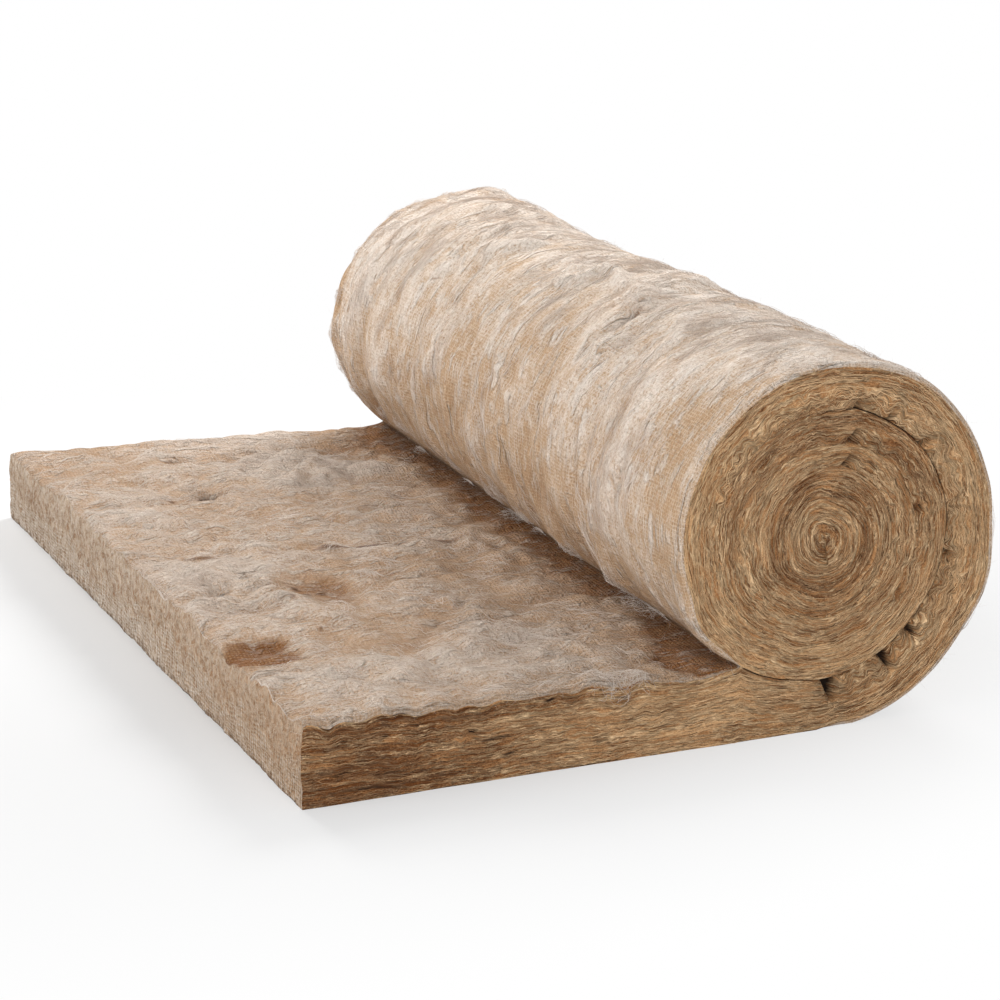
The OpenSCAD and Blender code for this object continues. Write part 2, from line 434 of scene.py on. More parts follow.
def ridges(s, y, lines, width):
    """Sum of raised folds, each from one place to another, that wander a little."""
    wander = [0.016 * lumps(s, y, (0.04, 0.04), seed) for seed in (97, 98)]
    s, y = s + wander[0], y + wander[1]
    total = np.zeros(s.shape)
    for start, side, stop, other_side, height in lines:
        along, over = stop - start, other_side - side
        share = np.clip(((s - start) * along + (y - side) * over) / (along ** 2 + over ** 2), 0, 1)
        away = np.hypot(s - start - share * along, y - side - share * over)
        total += height * np.exp(-(away / width) ** 2)
    return total


def fleece(s, y, seed, puffed=0.6):
    """Cottony mounds of wool with creases between them: about -0.4 in the creases, up to 0.6 or more."""
    a = s + 0.035 * lumps(s, y, (0.13, 0.13), seed)
    b = y + 0.030 * lumps(s, y, (0.13, 0.13), seed + 1)
    mounds = np.abs(lumps(a, b, (0.11, 0.085), seed + 2))
    puffs = np.abs(lumps(a, b, (0.042, 0.034), seed + 3))
    return 1.2 * mounds + puffed * puffs - 0.25 - 0.25 * puffed


def folds(s, y, seed):
    """Thin folds that wander along the mat and stop again, from 0 to 1."""
    a = s + 0.05 * lumps(s, y, (0.15, 0.15), seed)
    b = y + 0.04 * lumps(s, y, (0.15, 0.15), seed + 1)
    level = lumps(a, b, (0.26, 0.09), seed + 2)
    return np.exp(-(level / 0.12) ** 2) * np.clip(0.2 + 1.6 * lumps(s, y, (0.12, 0.12), seed + 3), 0, 1)


def astray(s, y):
    """Places shifted about a little, to give what lies there a ragged outline."""
    return s + 0.012 * lumps(s, y, (0.03, 0.03), 91), y + 0.014 * lumps(s, y, (0.03, 0.03), 92)


def tail_pale(s, y):
    """How much pale wool covers the tail's top, up to 1, and below 0 where the brown lies bare. It is
    lower at the nip, as painted shade.
    """
    cover = 0.62 + 0.15 * lumps(s, y, (0.20, 0.13), 11)
    cover = cover + 0.28 * fleece(s, y, TAIL_MOUNDS) + 0.10 * folds(s, y, TAIL_PLEATS)
    cover += 22 * ridges(s, y, TAIL_FOLDS, TAIL_FOLD_WIDTH)
    # Painted shade at the nip, where the roll meets the tail
    cover -= NIP_SHADE * np.exp((s - NIP_S) / NIP_REACH)
    cover -= EDGE_BROWN * np.exp(-(HALF_WIDTH - np.abs(y)) / EDGE_REACH)
    cover = cover + patches(s, y, TAIL_PATCHES) + patches(*astray(s, y), BARE_PATCHES, edge=3)
    return np.clip(cover, -0.3, 1)


def roll_pale(s, y):
    """How much pale wool covers the outside of the roll, up to 1, with painted light at its top and painted
    shade low on its left and at the nip.
    """
    cover = 0.66 + 0.12 * lumps(s, y, (0.30, 0.10), 13) + 0.22 * fleece(0.55 * s, y, ROLL_MOUNDS)
    cover += 0.12 * folds(s, y, ROLL_PLEATS) + 28 * ridges(s, y, ROLL_FOLDS, ROLL_FOLD_WIDTH)
    # Painted light at the roll's top, and painted shade lower down on its left
    cover += 0.16 * np.exp(-((s - TOP_S) / 0.15) ** 2) - 0.14 * grown(s - 0.85, 0.15)
    # Painted shade at the nip
    cover -= 0.6 * NIP_SHADE * np.exp((s - ROLL_END_S) / NIP_REACH)
    cover -= 3 * EDGE_BROWN * np.exp(-(HALF_WIDTH - y) / 0.012)
    return np.clip(cover + 0.48 * patches(s, y, ROLL_PATCHES), 0.15, 1)


def tail_height(s, y):
    """How far the tail's top stands above its plain height: the pale wool stands highest."""
    height = 0.0040 * lumps(s, y, (0.20, 0.14), 1)
    height += 0.0105 * fleece(s, y, TAIL_MOUNDS, puffed=1.05)
    height += 0.0030 * np.abs(lumps(s, y, (0.026, 0.020), 3))
    height += 0.006 * (tail_pale(s, y) - 0.60)
    height += 0.005 * np.exp(-((y + HALF_WIDTH) / 0.03) ** 2) * lumps(s, 0 * y, (0.05, 1), 9)
    height += 0.0035 * folds(s, y, TAIL_PLEATS) + patches(*astray(s, y), TAIL_DENTS)
    height += ridges(s, y, TAIL_FOLDS, TAIL_FOLD_WIDTH)
    return height * grown(NIP_S - s, 0.05) * np.clip(0.35 + (HALF_WIDTH - y) / 0.12, 0, 1)


def roll_height(s, y):
    """How far the outside of the roll stands out from its plain radius."""
    height = 0.009 * fleece(0.55 * s, y, ROLL_MOUNDS) + 0.0028 * np.abs(lumps(s, y, (0.040, 0.020), 6))
    slanted = y + 0.02 * lumps(s, y, (0.10, 0.10), 15)
    height += 0.0040 * np.abs(lumps(s + 0.3 * y, slanted, (0.22, 0.036), 16))
    height += 0.006 * (roll_pale(s, y) - 0.74)
    height *= np.clip(0.3 + (y + HALF_WIDTH) / 0.12, 0, 1)
    height += 0.0030 * lumps(s, y, (0.22, 0.12), 4)
    height += 0.0060 * folds(s, y, ROLL_PLEATS) + patches(s, y, ROLL_DENTS)
    height += ridges(s, y, ROLL_FOLDS, ROLL_FOLD_WIDTH)
    return np.minimum(height, 0.016) * grown(s, 0.10) * grown(ROLL_END_S - s, 0.06)


def edge_inset(y):
    """How far the mat's rounded edges fall back, across the mat."""
    rounding = np.where(y > 0, FAR_ROUND, NEAR_ROUND)
    left = np.clip(1 - (HALF_WIDTH - np.abs(y)) / rounding, 0, 1)
    return rounding * (1 - np.sqrt(1 - left ** 2))


# The mat's skin: the outside of the roll, the tail's top and its cut end

def width_places():
    """Places across the mat, closer together at its rounded sides."""
    inner = np.linspace(EDGE_PLACES[-1], MAT_WIDTH - EDGE_PLACES[-1], WIDTH_STEPS)
    far = [MAT_WIDTH - place for place in reversed(EDGE_PLACES[:-1])]
    return np.concatenate([EDGE_PLACES[:-1], inner, far]) - HALF_WIDTH


def make_skin():
    """Grids over the skin, one row for each station round the side view and one column for each place
    across: points, places on the mat (s, depth, y), how pale and how dark, and how many rows there are
    on the roll and on the tail."""
    y = width_places()[None, :]
    inset = edge_inset(y)
    end_x = end_x_at(y)
    face = outer_face(NEAR_END_X)[AXIS_COLUMN:NIP_COLUMN + 1]
    x, z, normal_x, normal_z, s = (face[:, i:i + 1] for i in range(5))
    keep = grown(ROLL_END_S - s, ROUND_FADE) * grown(s, ROUND_FADE)
    out = roll_height(s, y) - inset * keep
    roll = stacked(x + normal_x * out, y, np.maximum(z + normal_z * out, 0))
    over = y + np.sign(y) * inset
    roll_mat = stacked(s, 0 * s, over)

    share = TAIL_SHARES[TAIL_STEPS - 1::-1][:, None]
    x = end_x + share * (NIP_X - end_x)
    s = x - AXIS_X
    keep = grown(NIP_S - s, ROUND_FADE)
    z = tail_top(x) + tail_height(s, y) - inset * keep
    ragged_edge = NEAR_ROUND * (0.5 + 0.6 * np.abs(lumps(y[0], 0 * y[0], (0.03, 1), 33)))
    z[-1] -= ragged_edge
    z[-2] -= 0.3 * ragged_edge
    x[-1] += 0.4 * ragged_edge
    tail = stacked(x, y, z)
    tail_mat = stacked(s, 0 * s + MAT_THICKNESS, over)

    share = LAYERS[-2::-1][:, None]
    ragged = 0.0016 * lumps(y, share, (0.05, 0.5), 31) + 0.0016 * lumps(y, share, (0.012, 0.12), 32)
    ragged += 0.0014 * np.abs(lumps(y, 0 * y, (0.016, 1), 34)) * np.clip(1 - share / 0.12, 0, 1)
    back = 0.4 * ragged_edge * grown(share - 0.8, 0.2) ** 2
    end = stacked(end_x + back + ragged, y, share * z[-1:])
    end_mat = stacked(end_x - AXIS_X, share * MAT_THICKNESS, y)

    # Painted shade in the deeper dents
    pits = [(*dent[:4], -PIT_SHADE * dent[4]) for dent in TAIL_DENTS if dent[4] < -PIT_DEPTH]
    dark = patches(*astray(tail_mat[..., 0], tail_mat[..., 2]), pits)
    pale = [roll_pale(roll_mat[..., 0], roll_mat[..., 2]), tail_pale(tail_mat[..., 0], tail_mat[..., 2]),
            np.broadcast_to(grown(share - 0.5, 0.5), end.shape[:2])]
    return {
        "points": np.concatenate([roll, tail, end]),
        "mat": np.concatenate([roll_mat, tail_mat, end_mat]),
        "pale": np.concatenate(pale),
        "dark": np.concatenate([np.zeros(roll.shape[:2]), np.clip(dark, 0, 1), np.zeros(end.shape[:2])]),
        "roll_rows": len(roll),
        "tail_rows": len(tail),
    }


# The mat's cut sides: the strip of wool seen edge on, wound up in the roll

# The two coordinates of a point in the side view
X_AND_Z = slice(0, 3, 2)


def make_cut_side(skin, far):
    """Grids over one cut side, one row for each column along the mat and one column for each layer:
    points, places on the mat, how pale, how dark and how crumpled. The centre of the roll is given
    apart, as core."""
    edge = skin["points"][:, -1 if far else 0]
    side_y = HALF_WIDTH if far else -HALF_WIDTH
    seed = 50 if far else 40
    face = outer_face(end_x_at(side_y))
    s = face[:, 4]
    outer = face[:, 0:2].copy()
    sway = 0.0026 * lumps(s, 0 * s, (0.06, 1), seed) + 0.0012 * lumps(s, 0 * s, (0.022, 1), seed + 1)
    sway *= grown(s - ROLL_END_S, 0.05)
    outer = squeeze_core(outer + face[:, 2:4] * sway[:, None])
    outer[AXIS_COLUMN:NIP_COLUMN + 1] = edge[:skin["roll_rows"], X_AND_Z]
    inner = np.concatenate([outer[:TAIL_STEPS], outer[TAIL_STEPS + FULL_TURN:]])
    tail_rows = slice(skin["roll_rows"], skin["roll_rows"] + skin["tail_rows"])
    inner[:TAIL_STEPS] = edge[tail_rows, X_AND_Z][::-1]

    columns = LAST_COLUMN + 1
    start, stop = outer[:columns, None, :], inner[:columns, None, :]
    side_view = start + LAYERS[None, :, None] * (stop - start)
    top = inner[:TAIL_STEPS, 1]
    waves = top - smoothed(top, 20)
    side_view[:TAIL_STEPS, :, 1] += waves[:, None] * (LAYERS ** 4 - LAYERS)
    side_view[0] = edge[tail_rows.stop - 1:, X_AND_Z][::-1]
    thick = np.linalg.norm(inner[:columns] - outer[:columns], axis=1)
    depth = LAYERS[None, :] * smoothed(thick, 40)[:, None]
    along = np.broadcast_to(s[:columns, None], depth.shape)

    relief = 0.0013 * lumps(along, depth, (0.09, 0.005), seed + 2)
    relief += 0.0022 * lumps(along, depth, (0.05, 0.014), seed + 3)
    relief += 0.0030 * lumps(along, depth, (0.30, 0.05), seed + 4)
    hollows = np.clip(patches(along, depth, SIDE_HOLLOWS), 0, 1)
    pit, bend = crease_pits(inner[:columns], thick)
    relief -= CREASE_PIT * pit + 0.006 * hollows
    # Painted shade in the crease pits and along the seam
    dark = pit.copy()
    groove, shade = seam_groove(s[:columns], seed)
    seam = slice(NIP_COLUMN + 1, None)
    outside = np.arange(NIP_COLUMN + 1, columns) - FULL_TURN
    relief[seam, 0] -= groove[seam] + CREASE_PIT * pit[outside, -1]
    dark[seam, 0] = np.maximum(shade[seam], pit[outside, -1])
    border = np.zeros(depth.shape, bool)
    border[:NIP_COLUMN + 1, 0] = True
    border[:TAIL_STEPS + 1, -1] = True
    border[0] = True
    relief[border] *= 0.5

    pale = 0.54 + 0.20 * lumps(along, depth, (0.25, 0.025), seed + 6) + patches(along, depth, SIDE_PATCHES)
    sign = 1 if far else -1
    points = np.stack([side_view[..., 0], side_y + sign * relief, side_view[..., 1]], -1)
    core_x, core_z = outer[columns:, 0], outer[columns:, 1]
    core = np.stack([core_x, np.full(len(core_x), side_y) - sign * CORE_SUNK, core_z], -1)
    mat = np.stack([along, depth + bend, np.full(depth.shape, side_y)], -1)
    return {"points": points, "mat": mat, "pale": np.clip(pale, 0, 1), "dark": dark, "core": core,
            "crumple": crumpling(along, depth), "core_s": s[columns:]}


def squeeze_core(view):
    """Places in the side view, with the innermost turns squeezed out of round."""
    off = view - np.array([AXIS_X, turn_centre_z(HALF_TURNS)])
    close = np.clip(1 - np.linalg.norm(off, axis=1) / CORE_REACH, 0, 1) ** 1.3
    shift = [lumps(view[:, 0], view[:, 1], (0.055, 0.055), seed) for seed in (95, 96)]
    return view + CORE_SHIFT * close[:, None] * np.stack(shift, 1)


def crumpling(along, depth):
    """How much the layers are crumpled, from 0 to 1: most in the inner part of the outer turn."""
    turned = grown(along, 0.05) * grown(CRUMPLE_END_S - along, 0.20)
    inside = grown(LAYERS[None, :] - 0.35, 0.35)
    uneven = np.clip(0.9 + 0.9 * lumps(along, depth, (0.06, 0.03), 81), 0.35, 1)
    return np.clip(turned * inside * uneven + patches(along, depth, SIDE_CRUMPLES), 0, 1)


def seam_groove(s, seed):
    """How deep the seam between two turns is along the mat, and how much painted shade it gets: most on its
    way from the nip round to the roll's top."""
    wander = np.clip(0.5 + 0.7 * lumps(s, 0 * s, (0.10, 1), seed + 5), 0, 1)
    third = math.pi * (turn_radius(0) + turn_radius(1) + turn_radius(2))
    middle, half = (ROLL_END_S + third) / 2, (third - ROLL_END_S) / 2
    open_share = 0.50 + 0.50 * grown(half + 0.06 - np.abs(s - middle), 0.06)
    return (0.001 + 0.005 * wander) * open_share, np.clip(0.70 + 0.6 * wander, 0, 1) * open_share


def crease_pits(inner, thick):
    """Where the inner face of a turn has buckled: share of the full pit, and how far the layers bend."""
    pit = np.zeros((len(thick), len(LAYERS)))
    bend = np.zeros_like(pit)
    up = (1 - LAYERS)[None, :] * thick[:, None]
    for k, angle, size in CREASES:
        turn = math.radians(angle)
        normal = np.array([math.cos(turn), math.sin(turn)])
        off = inner - np.array([AXIS_X, turn_centre_z(k)]) - turn_radius(k) * normal
        close = np.linalg.norm(off, axis=1)[:, None] < 0.03
        away = np.abs(off @ np.array([-normal[1], normal[0]]))[:, None]
        tall = CREASE_DEPTH * size
        half = CREASE_WIDTH / 2 * size * np.clip(1 - up / tall, 0, 1) ** 1.6 + FOLD_WIDTH / 2
        pit = np.maximum(pit, size * np.clip(1.5 - away / half, 0, 1) * (up < tall) * close)
        bend += 0.010 * size * np.exp(-(away / 0.014) ** 2) * np.exp(-up / 0.02) * close
    return pit, bend


# One closed mesh of skin and cut sides

class MeshParts:
    """Collects points and faces, with values for the materials."""

    def __init__(self):
        self.points, self.faces, self.places, self.kinds = [], [], [], []
        self.values = {"pale": [], "dark": [], "crumple": []}
        self.count = 0

    def add_points(self, points, pale, dark, crumple=0.0):
        """Adds points and returns their numbers, in the same shape."""
        flat = np.reshape(points, (-1, 3))
        shape = np.shape(points)[:-1]
        self.points.append(flat)
        for kept, given in zip(self.values.values(), (pale, dark, crumple)):
            kept.append(np.broadcast_to(given, shape).ravel())
        numbers = np.arange(self.count, self.count + len(flat)).reshape(shape)
        self.count += len(flat)
        return numbers

    def add_grid(self, numbers, places, kind, turned=False):
        """Adds the quads of a grid of point numbers, with each corner's place on the mat."""
        for_corner = [(slice(None, -1), slice(None, -1)), (slice(1, None), slice(None, -1)),
                      (slice(1, None), slice(1, None)), (slice(None, -1), slice(1, None))]
        if turned:
            for_corner.reverse()
        faces = np.stack([numbers[c] for c in for_corner], -1).reshape(-1, 4)
        where = np.stack([places[c] for c in for_corner], -2).reshape(-1, 4, 3)
        self.faces.extend(faces.tolist())
        self.places.append(where.reshape(-1, 3))
        self.kinds.append(np.full(len(faces), kind))

    def add_face(self, numbers, places, kind):
        """Adds one face, with each corner's place on the mat."""
        self.faces.append([int(n) for n in numbers])
        self.places.append(np.reshape(places, (-1, 3)))
        self.kinds.append(np.array([kind]))

    def build(self, name, materials):
        """The finished piece."""
        mesh = bpy.data.meshes.new(name)
        mesh.from_pydata(np.concatenate(self.points).tolist(), [], self.faces)
        for attribute_name, values in self.values.items():
            layer = mesh.attributes.new(attribute_name, "FLOAT", "POINT")
            layer.data.foreach_set("value", np.concatenate(values).astype(np.float32))
        layer = mesh.attributes.new("mat_place", "FLOAT_VECTOR", "CORNER")
        layer.data.foreach_set("vector", np.concatenate(self.places).astype(np.float32).ravel())
        for material in materials:
            mesh.materials.append(material)
        mesh.polygons.foreach_set("material_index", np.concatenate(self.kinds).astype(np.int32))
        mesh.polygons.foreach_set("use_smooth", np.ones(len(mesh.polygons), bool))
        mesh.update()
        piece = bpy.data.objects.new(name, mesh)
        bpy.context.scene.collection.objects.link(piece)
        return piece


SKIN, CUT_SIDE, CUT_END = 0, 1, 2


def add_cut_side(parts, side, far):
    """Adds a cut side to the mesh. Returns the point numbers along its border with the skin, and those
    along the floor with their places on the mat."""
    columns = LAST_COLUMN + 1
    outer = np.empty(columns + FULL_TURN, int)
    body = parts.add_points(*(side[key][:, :-1] for key in ("points", "pale", "dark", "crumple")))
    outer[:columns] = body[:, 0]
    outer[columns:] = parts.add_points(side["core"], pale=0.4, dark=0.3)
    top = parts.add_points(side["points"][:TAIL_STEPS, -1], pale=0.6, dark=0)
    inner = np.concatenate([top, outer[TAIL_STEPS + FULL_TURN:]])
    numbers = np.concatenate([body, inner[:, None]], 1)
    parts.add_grid(numbers, side["mat"], CUT_SIDE, turned=far)

    loop = np.concatenate([outer[columns - 1:], numbers[-1, -2:0:-1]])
    spots = np.concatenate([side["points"][-1:, 0], side["core"], side["points"][-1, -2:0:-1]])
    inmost_s = np.full(len(LAYERS) - 2, side["core_s"][-1])
    core_s = np.concatenate([[side["mat"][-1, 0, 0]], side["core_s"], inmost_s])
    centre = spots.mean(0)
    rings, ring_places = [loop], [np.stack([core_s, 0 * core_s, 0 * core_s + centre[1]], -1)]
    for share in (0.7, 0.4, 0.15):
        rings.append(parts.add_points(centre + share * (spots - centre), pale=0.3, dark=0.15))
        ring_places.append(ring_places[0] + np.array([0, 0.02 * (1 - share), 0]))
    closed = [np.concatenate([ring, ring[:1]]) for ring in rings]
    closed_places = [np.concatenate([place, place[:1]]) for place in ring_places]
    parts.add_grid(np.stack(closed, 1), np.stack(closed_places, 1), CUT_SIDE, turned=far)
    last = rings[-1] if not far else rings[-1][::-1]
    parts.add_face(last, ring_places[-1], CUT_SIDE)
    border = np.concatenate([outer[AXIS_COLUMN:NIP_COLUMN + 1], top[::-1], numbers[0, -2::-1]])
    return border, outer[:AXIS_COLUMN + 1], side["mat"][:AXIS_COLUMN + 1, 0]


def build_mat(skin, sides, materials):
    """The whole mat as one closed mesh."""
    parts = MeshParts()
    near_border, near_floor, near_places = add_cut_side(parts, sides[0], far=False)
    far_border, far_floor, far_places = add_cut_side(parts, sides[1], far=True)
    between = parts.add_points(skin["points"][:, 1:-1], skin["pale"][:, 1:-1], skin["dark"][:, 1:-1])
    numbers = np.concatenate([near_border[:, None], between, far_border[:, None]], 1)
    split = skin["roll_rows"] + skin["tail_rows"]
    parts.add_grid(numbers[:split], skin["mat"][:split], SKIN, turned=True)
    parts.add_grid(numbers[split - 1:], skin["mat"][split - 1:], CUT_END, turned=True)
    floor = np.concatenate([near_floor[::-1], numbers[-1, 1:-1], far_floor, numbers[0, -2:0:-1]])
    end_places, axis_places = skin["mat"][-1, 1:-1], skin["mat"][0, -2:0:-1]
    floor_places = np.concatenate([near_places[::-1], end_places, far_places, axis_places])
    parts.add_face(floor, floor_places, SKIN)
    return parts.build("wool_mat_body", materials)


# Node helpers

def add(tree, kind, settings=None, **inputs):
    """Adds a node, and sets or links its inputs by name."""
    node = tree.nodes.new(kind)
    for key, value in (settings or {}).items():
        setattr(node, key, value)
    for key, value in inputs.items():
        put(tree, node.inputs[key.replace("_", " ")], value)
    return node


def put(tree, socket, value):
    """Sets an input, or links it if the value is another node's output."""
    if isinstance(value, bpy.types.NodeSocket):
        tree.links.new(value, socket)
    else:
        socket.default_value = value


def put_all(tree, node, *values):
    """Sets or links a node's inputs in their order, and returns its first output."""
    for socket, value in zip(node.inputs, values):
        put(tree, socket, value)
    return node.outputs[0]


def calc(tree, operation, *values, clamp=False):
    """A math node's result."""
    return put_all(tree, add(tree, "ShaderNodeMath", {"operation": operation, "use_clamp": clamp}), *values)


def vector_calc(tree, operation, *values):
    """A vector math node's result."""
    return put_all(tree, add(tree, "ShaderNodeVectorMath", {"operation": operation}), *values)


def mix(tree, share, first, second):
    """A colour between two others."""
    node = add(tree, "ShaderNodeMix", {"data_type": "RGBA"})
    for socket, value in zip((node.inputs[0], node.inputs[6], node.inputs[7]), (share, first, second)):
        put(tree, socket, value)
    return node.outputs[2]


def tinted(tree, colour, share, amount, tint):
    """A colour with an amount of a tint over a share of it."""
    return mix(tree, calc(tree, "MULTIPLY", share, amount), colour, tint)


def ramp(tree, value, low, high):
    """A value stretched so that low becomes 0 and high becomes 1, with soft ends."""
    node = add(tree, "ShaderNodeMapRange", {"interpolation_type": "SMOOTHSTEP"})
    return put_all(tree, node, value, low, high, 0.0, 1.0)


def attribute(tree, name, output="Fac"):
    """A value kept on the mesh."""
    return add(tree, "ShaderNodeAttribute", {"attribute_name": name}).outputs[output]


def noise_at(tree, place, per_metre, detail, rough):
    """A noise node with the given number of features per metre along s, depth and y."""
    scaled = add(tree, "ShaderNodeMapping", {"vector_type": "POINT"}, Vector=place, Scale=per_metre)
    where = scaled.outputs[0]
    return add(tree, "ShaderNodeTexNoise", Vector=where, Scale=1.0, Detail=detail, Roughness=rough)


def grain(tree, place, per_metre, detail, rough):
    """Noise as a value, from about 0 to 1."""
    return noise_at(tree, place, per_metre, detail, rough).outputs[0]


def stir(tree, place, per_metre, reach):
    """Places shifted about by noise, so that what follows them wanders."""
    found = noise_at(tree, place, per_metre, 2.0, 0.5)
    return vector_calc(tree, "MULTIPLY_ADD", found.outputs["Color"], reach, place)


def distance(tree, place, centre, size, turn=(0.0, 0.0, 0.0)):
    """Distance from a centre, in which the size along each axis counts as 1. The axes may be turned."""
    local = add(tree, "ShaderNodeMapping", {"vector_type": "TEXTURE"}, Vector=place, Location=centre,
                Rotation=turn, Scale=size)
    away = add(tree, "ShaderNodeVectorMath", {"operation": "LENGTH"}, Vector=local.outputs[0])
    return away.outputs["Value"]


def sway_by(tree, base, value, amount):
    """A base value with part of a noise added, of which the middle level adds nothing."""
    return calc(tree, "MULTIPLY_ADD", calc(tree, "SUBTRACT", value, 0.5), amount, base)


def off_middle(tree, value):
    """How far a noise is from its middle level."""
    return calc(tree, "ABSOLUTE", calc(tree, "SUBTRACT", value, 0.5))


def ridge(tree, value, width):
    """Thin lines along the middle level of a noise."""
    return ramp(tree, off_middle(tree, value), width, 0.0)


def puffy(tree, value):
    """Soft puffs with sharp creases between them, from a noise."""
    return calc(tree, "MULTIPLY", off_middle(tree, value), 4.0, clamp=True)


def srgb(red, green, blue):
    """A colour written as it shows on screen, from 0 to 255, for a socket."""
    def linear(part):
        part /= 255
        return part / 12.92 if part <= 0.04045 else ((part + 0.055) / 1.055) ** 2.4
    return (linear(red), linear(green), linear(blue), 1.0)


def new_material(name):
    """An empty material and its node tree."""
    material = bpy.data.materials.new(name)
    material.use_nodes = True
    material.node_tree.nodes.clear()
    return material, material.node_tree


def finish_wool(tree, colour, height, bump_height, sheen):
    """The matt, slightly sheeny shader that all the wool shares."""
    bump = add(tree, "ShaderNodeBump", Strength=1.0, Distance=bump_height, Height=height)
    normal = bump.outputs[0]
    shader = add(tree, "ShaderNodeBsdfPrincipled", Base_Color=colour, Roughness=0.95, Normal=normal)
    shader.inputs["Specular IOR Level"].default_value = 0.1
    shader.inputs["Sheen Weight"].default_value = sheen
    shader.inputs["Sheen Roughness"].default_value = 0.6
    shader.inputs["Sheen Tint"].default_value = SHEEN_TINT
    add(tree, "ShaderNodeOutputMaterial", Surface=shader.outputs[0])


# Materials

SHEEN_TINT = srgb(255, 240, 224)
# Colours of the skin: the brown below it, plain and pale wool, what lightens them, and painted shade
UNDERLAYER = srgb(120, 69, 22)
ROLL_TAN = srgb(198, 169, 140)
TAIL_TAN = srgb(189, 160, 135)
ROLL_PALE = srgb(229, 215, 202)
TAIL_PALE = srgb(212, 195, 180)
BETWEEN_GAUZE = srgb(161, 124, 84)
PULLED_WOOL = srgb(238, 228, 217)
FELT_SHADE = srgb(140, 103, 69)
PUFF_SHADE = srgb(146, 106, 70)
FOLD_SHADE = srgb(140, 99, 62)
ROLL_CREASE_SHADE = srgb(126, 86, 50)
TAIL_CREASE_SHADE = srgb(90, 52, 24)
SUNK_WOOL_SHADE = srgb(183, 147, 109)
# Colours of the cut sides, with painted shade in their gaps, seams and crevices
SIDE_BROWN = srgb(110, 65, 31)
SIDE_TAN = srgb(174, 127, 84)
SIDE_PALE = srgb(218, 177, 131)
SIDE_GAP_SHADE = srgb(98, 54, 22)
SIDE_THREADS = srgb(240, 206, 162)
SEAM_SHADE = srgb(46, 25, 11)
# Colours of the tail's cut end
END_BROWN = srgb(144, 107, 74)
END_TAN = srgb(196, 173, 150)
END_PALE = srgb(230, 219, 207)
END_THREADS = srgb(232, 220, 206)
END_GOLDEN = srgb(168, 124, 80)
END_HOLES_AND_EDGE = srgb(98, 66, 40)
# Numbers of two axes of a place on the mat, and half widths of the painted shade in creases and crevices
DEPTH_AXIS, Y_AXIS = 1, 2
TAIL_CREASE_WIDTH = 0.0072
ROLL_CREASE_WIDTH = 0.0028
SIDE_CREASE_WIDTH = 0.0040


def crease_lines(tree, place, lines, across, width):
    """Painted shade in fine creases, each a slim ellipse from one place to another. They lie in the plane
    of s and of the axis across."""
    total = 0.0
    for start, side, stop, other_side, strength in lines:
        centre, size, turn = [0.0] * 3, [1000.0] * 3, [0.0] * 3
        centre[0], centre[across] = (start + stop) / 2, (side + other_side) / 2
        size[0], size[across] = math.hypot(stop - start, other_side - side) / 2, width
        angle = math.atan2(other_side - side, stop - start)
        turn[3 - across] = angle if across == DEPTH_AXIS else -angle
        away = distance(tree, place, centre, size, turn)
        total = calc(tree, "MULTIPLY_ADD", ramp(tree, away, 1.0, 0.0), strength, total)
    return total


def wave(tree, value, pitch, low, high):
    """Soft stripes at a pitch along a value, from 0 to 1."""
    return ramp(tree, calc(tree, "SINE", calc(tree, "MULTIPLY", value, 2 * math.pi / pitch)), low, high)


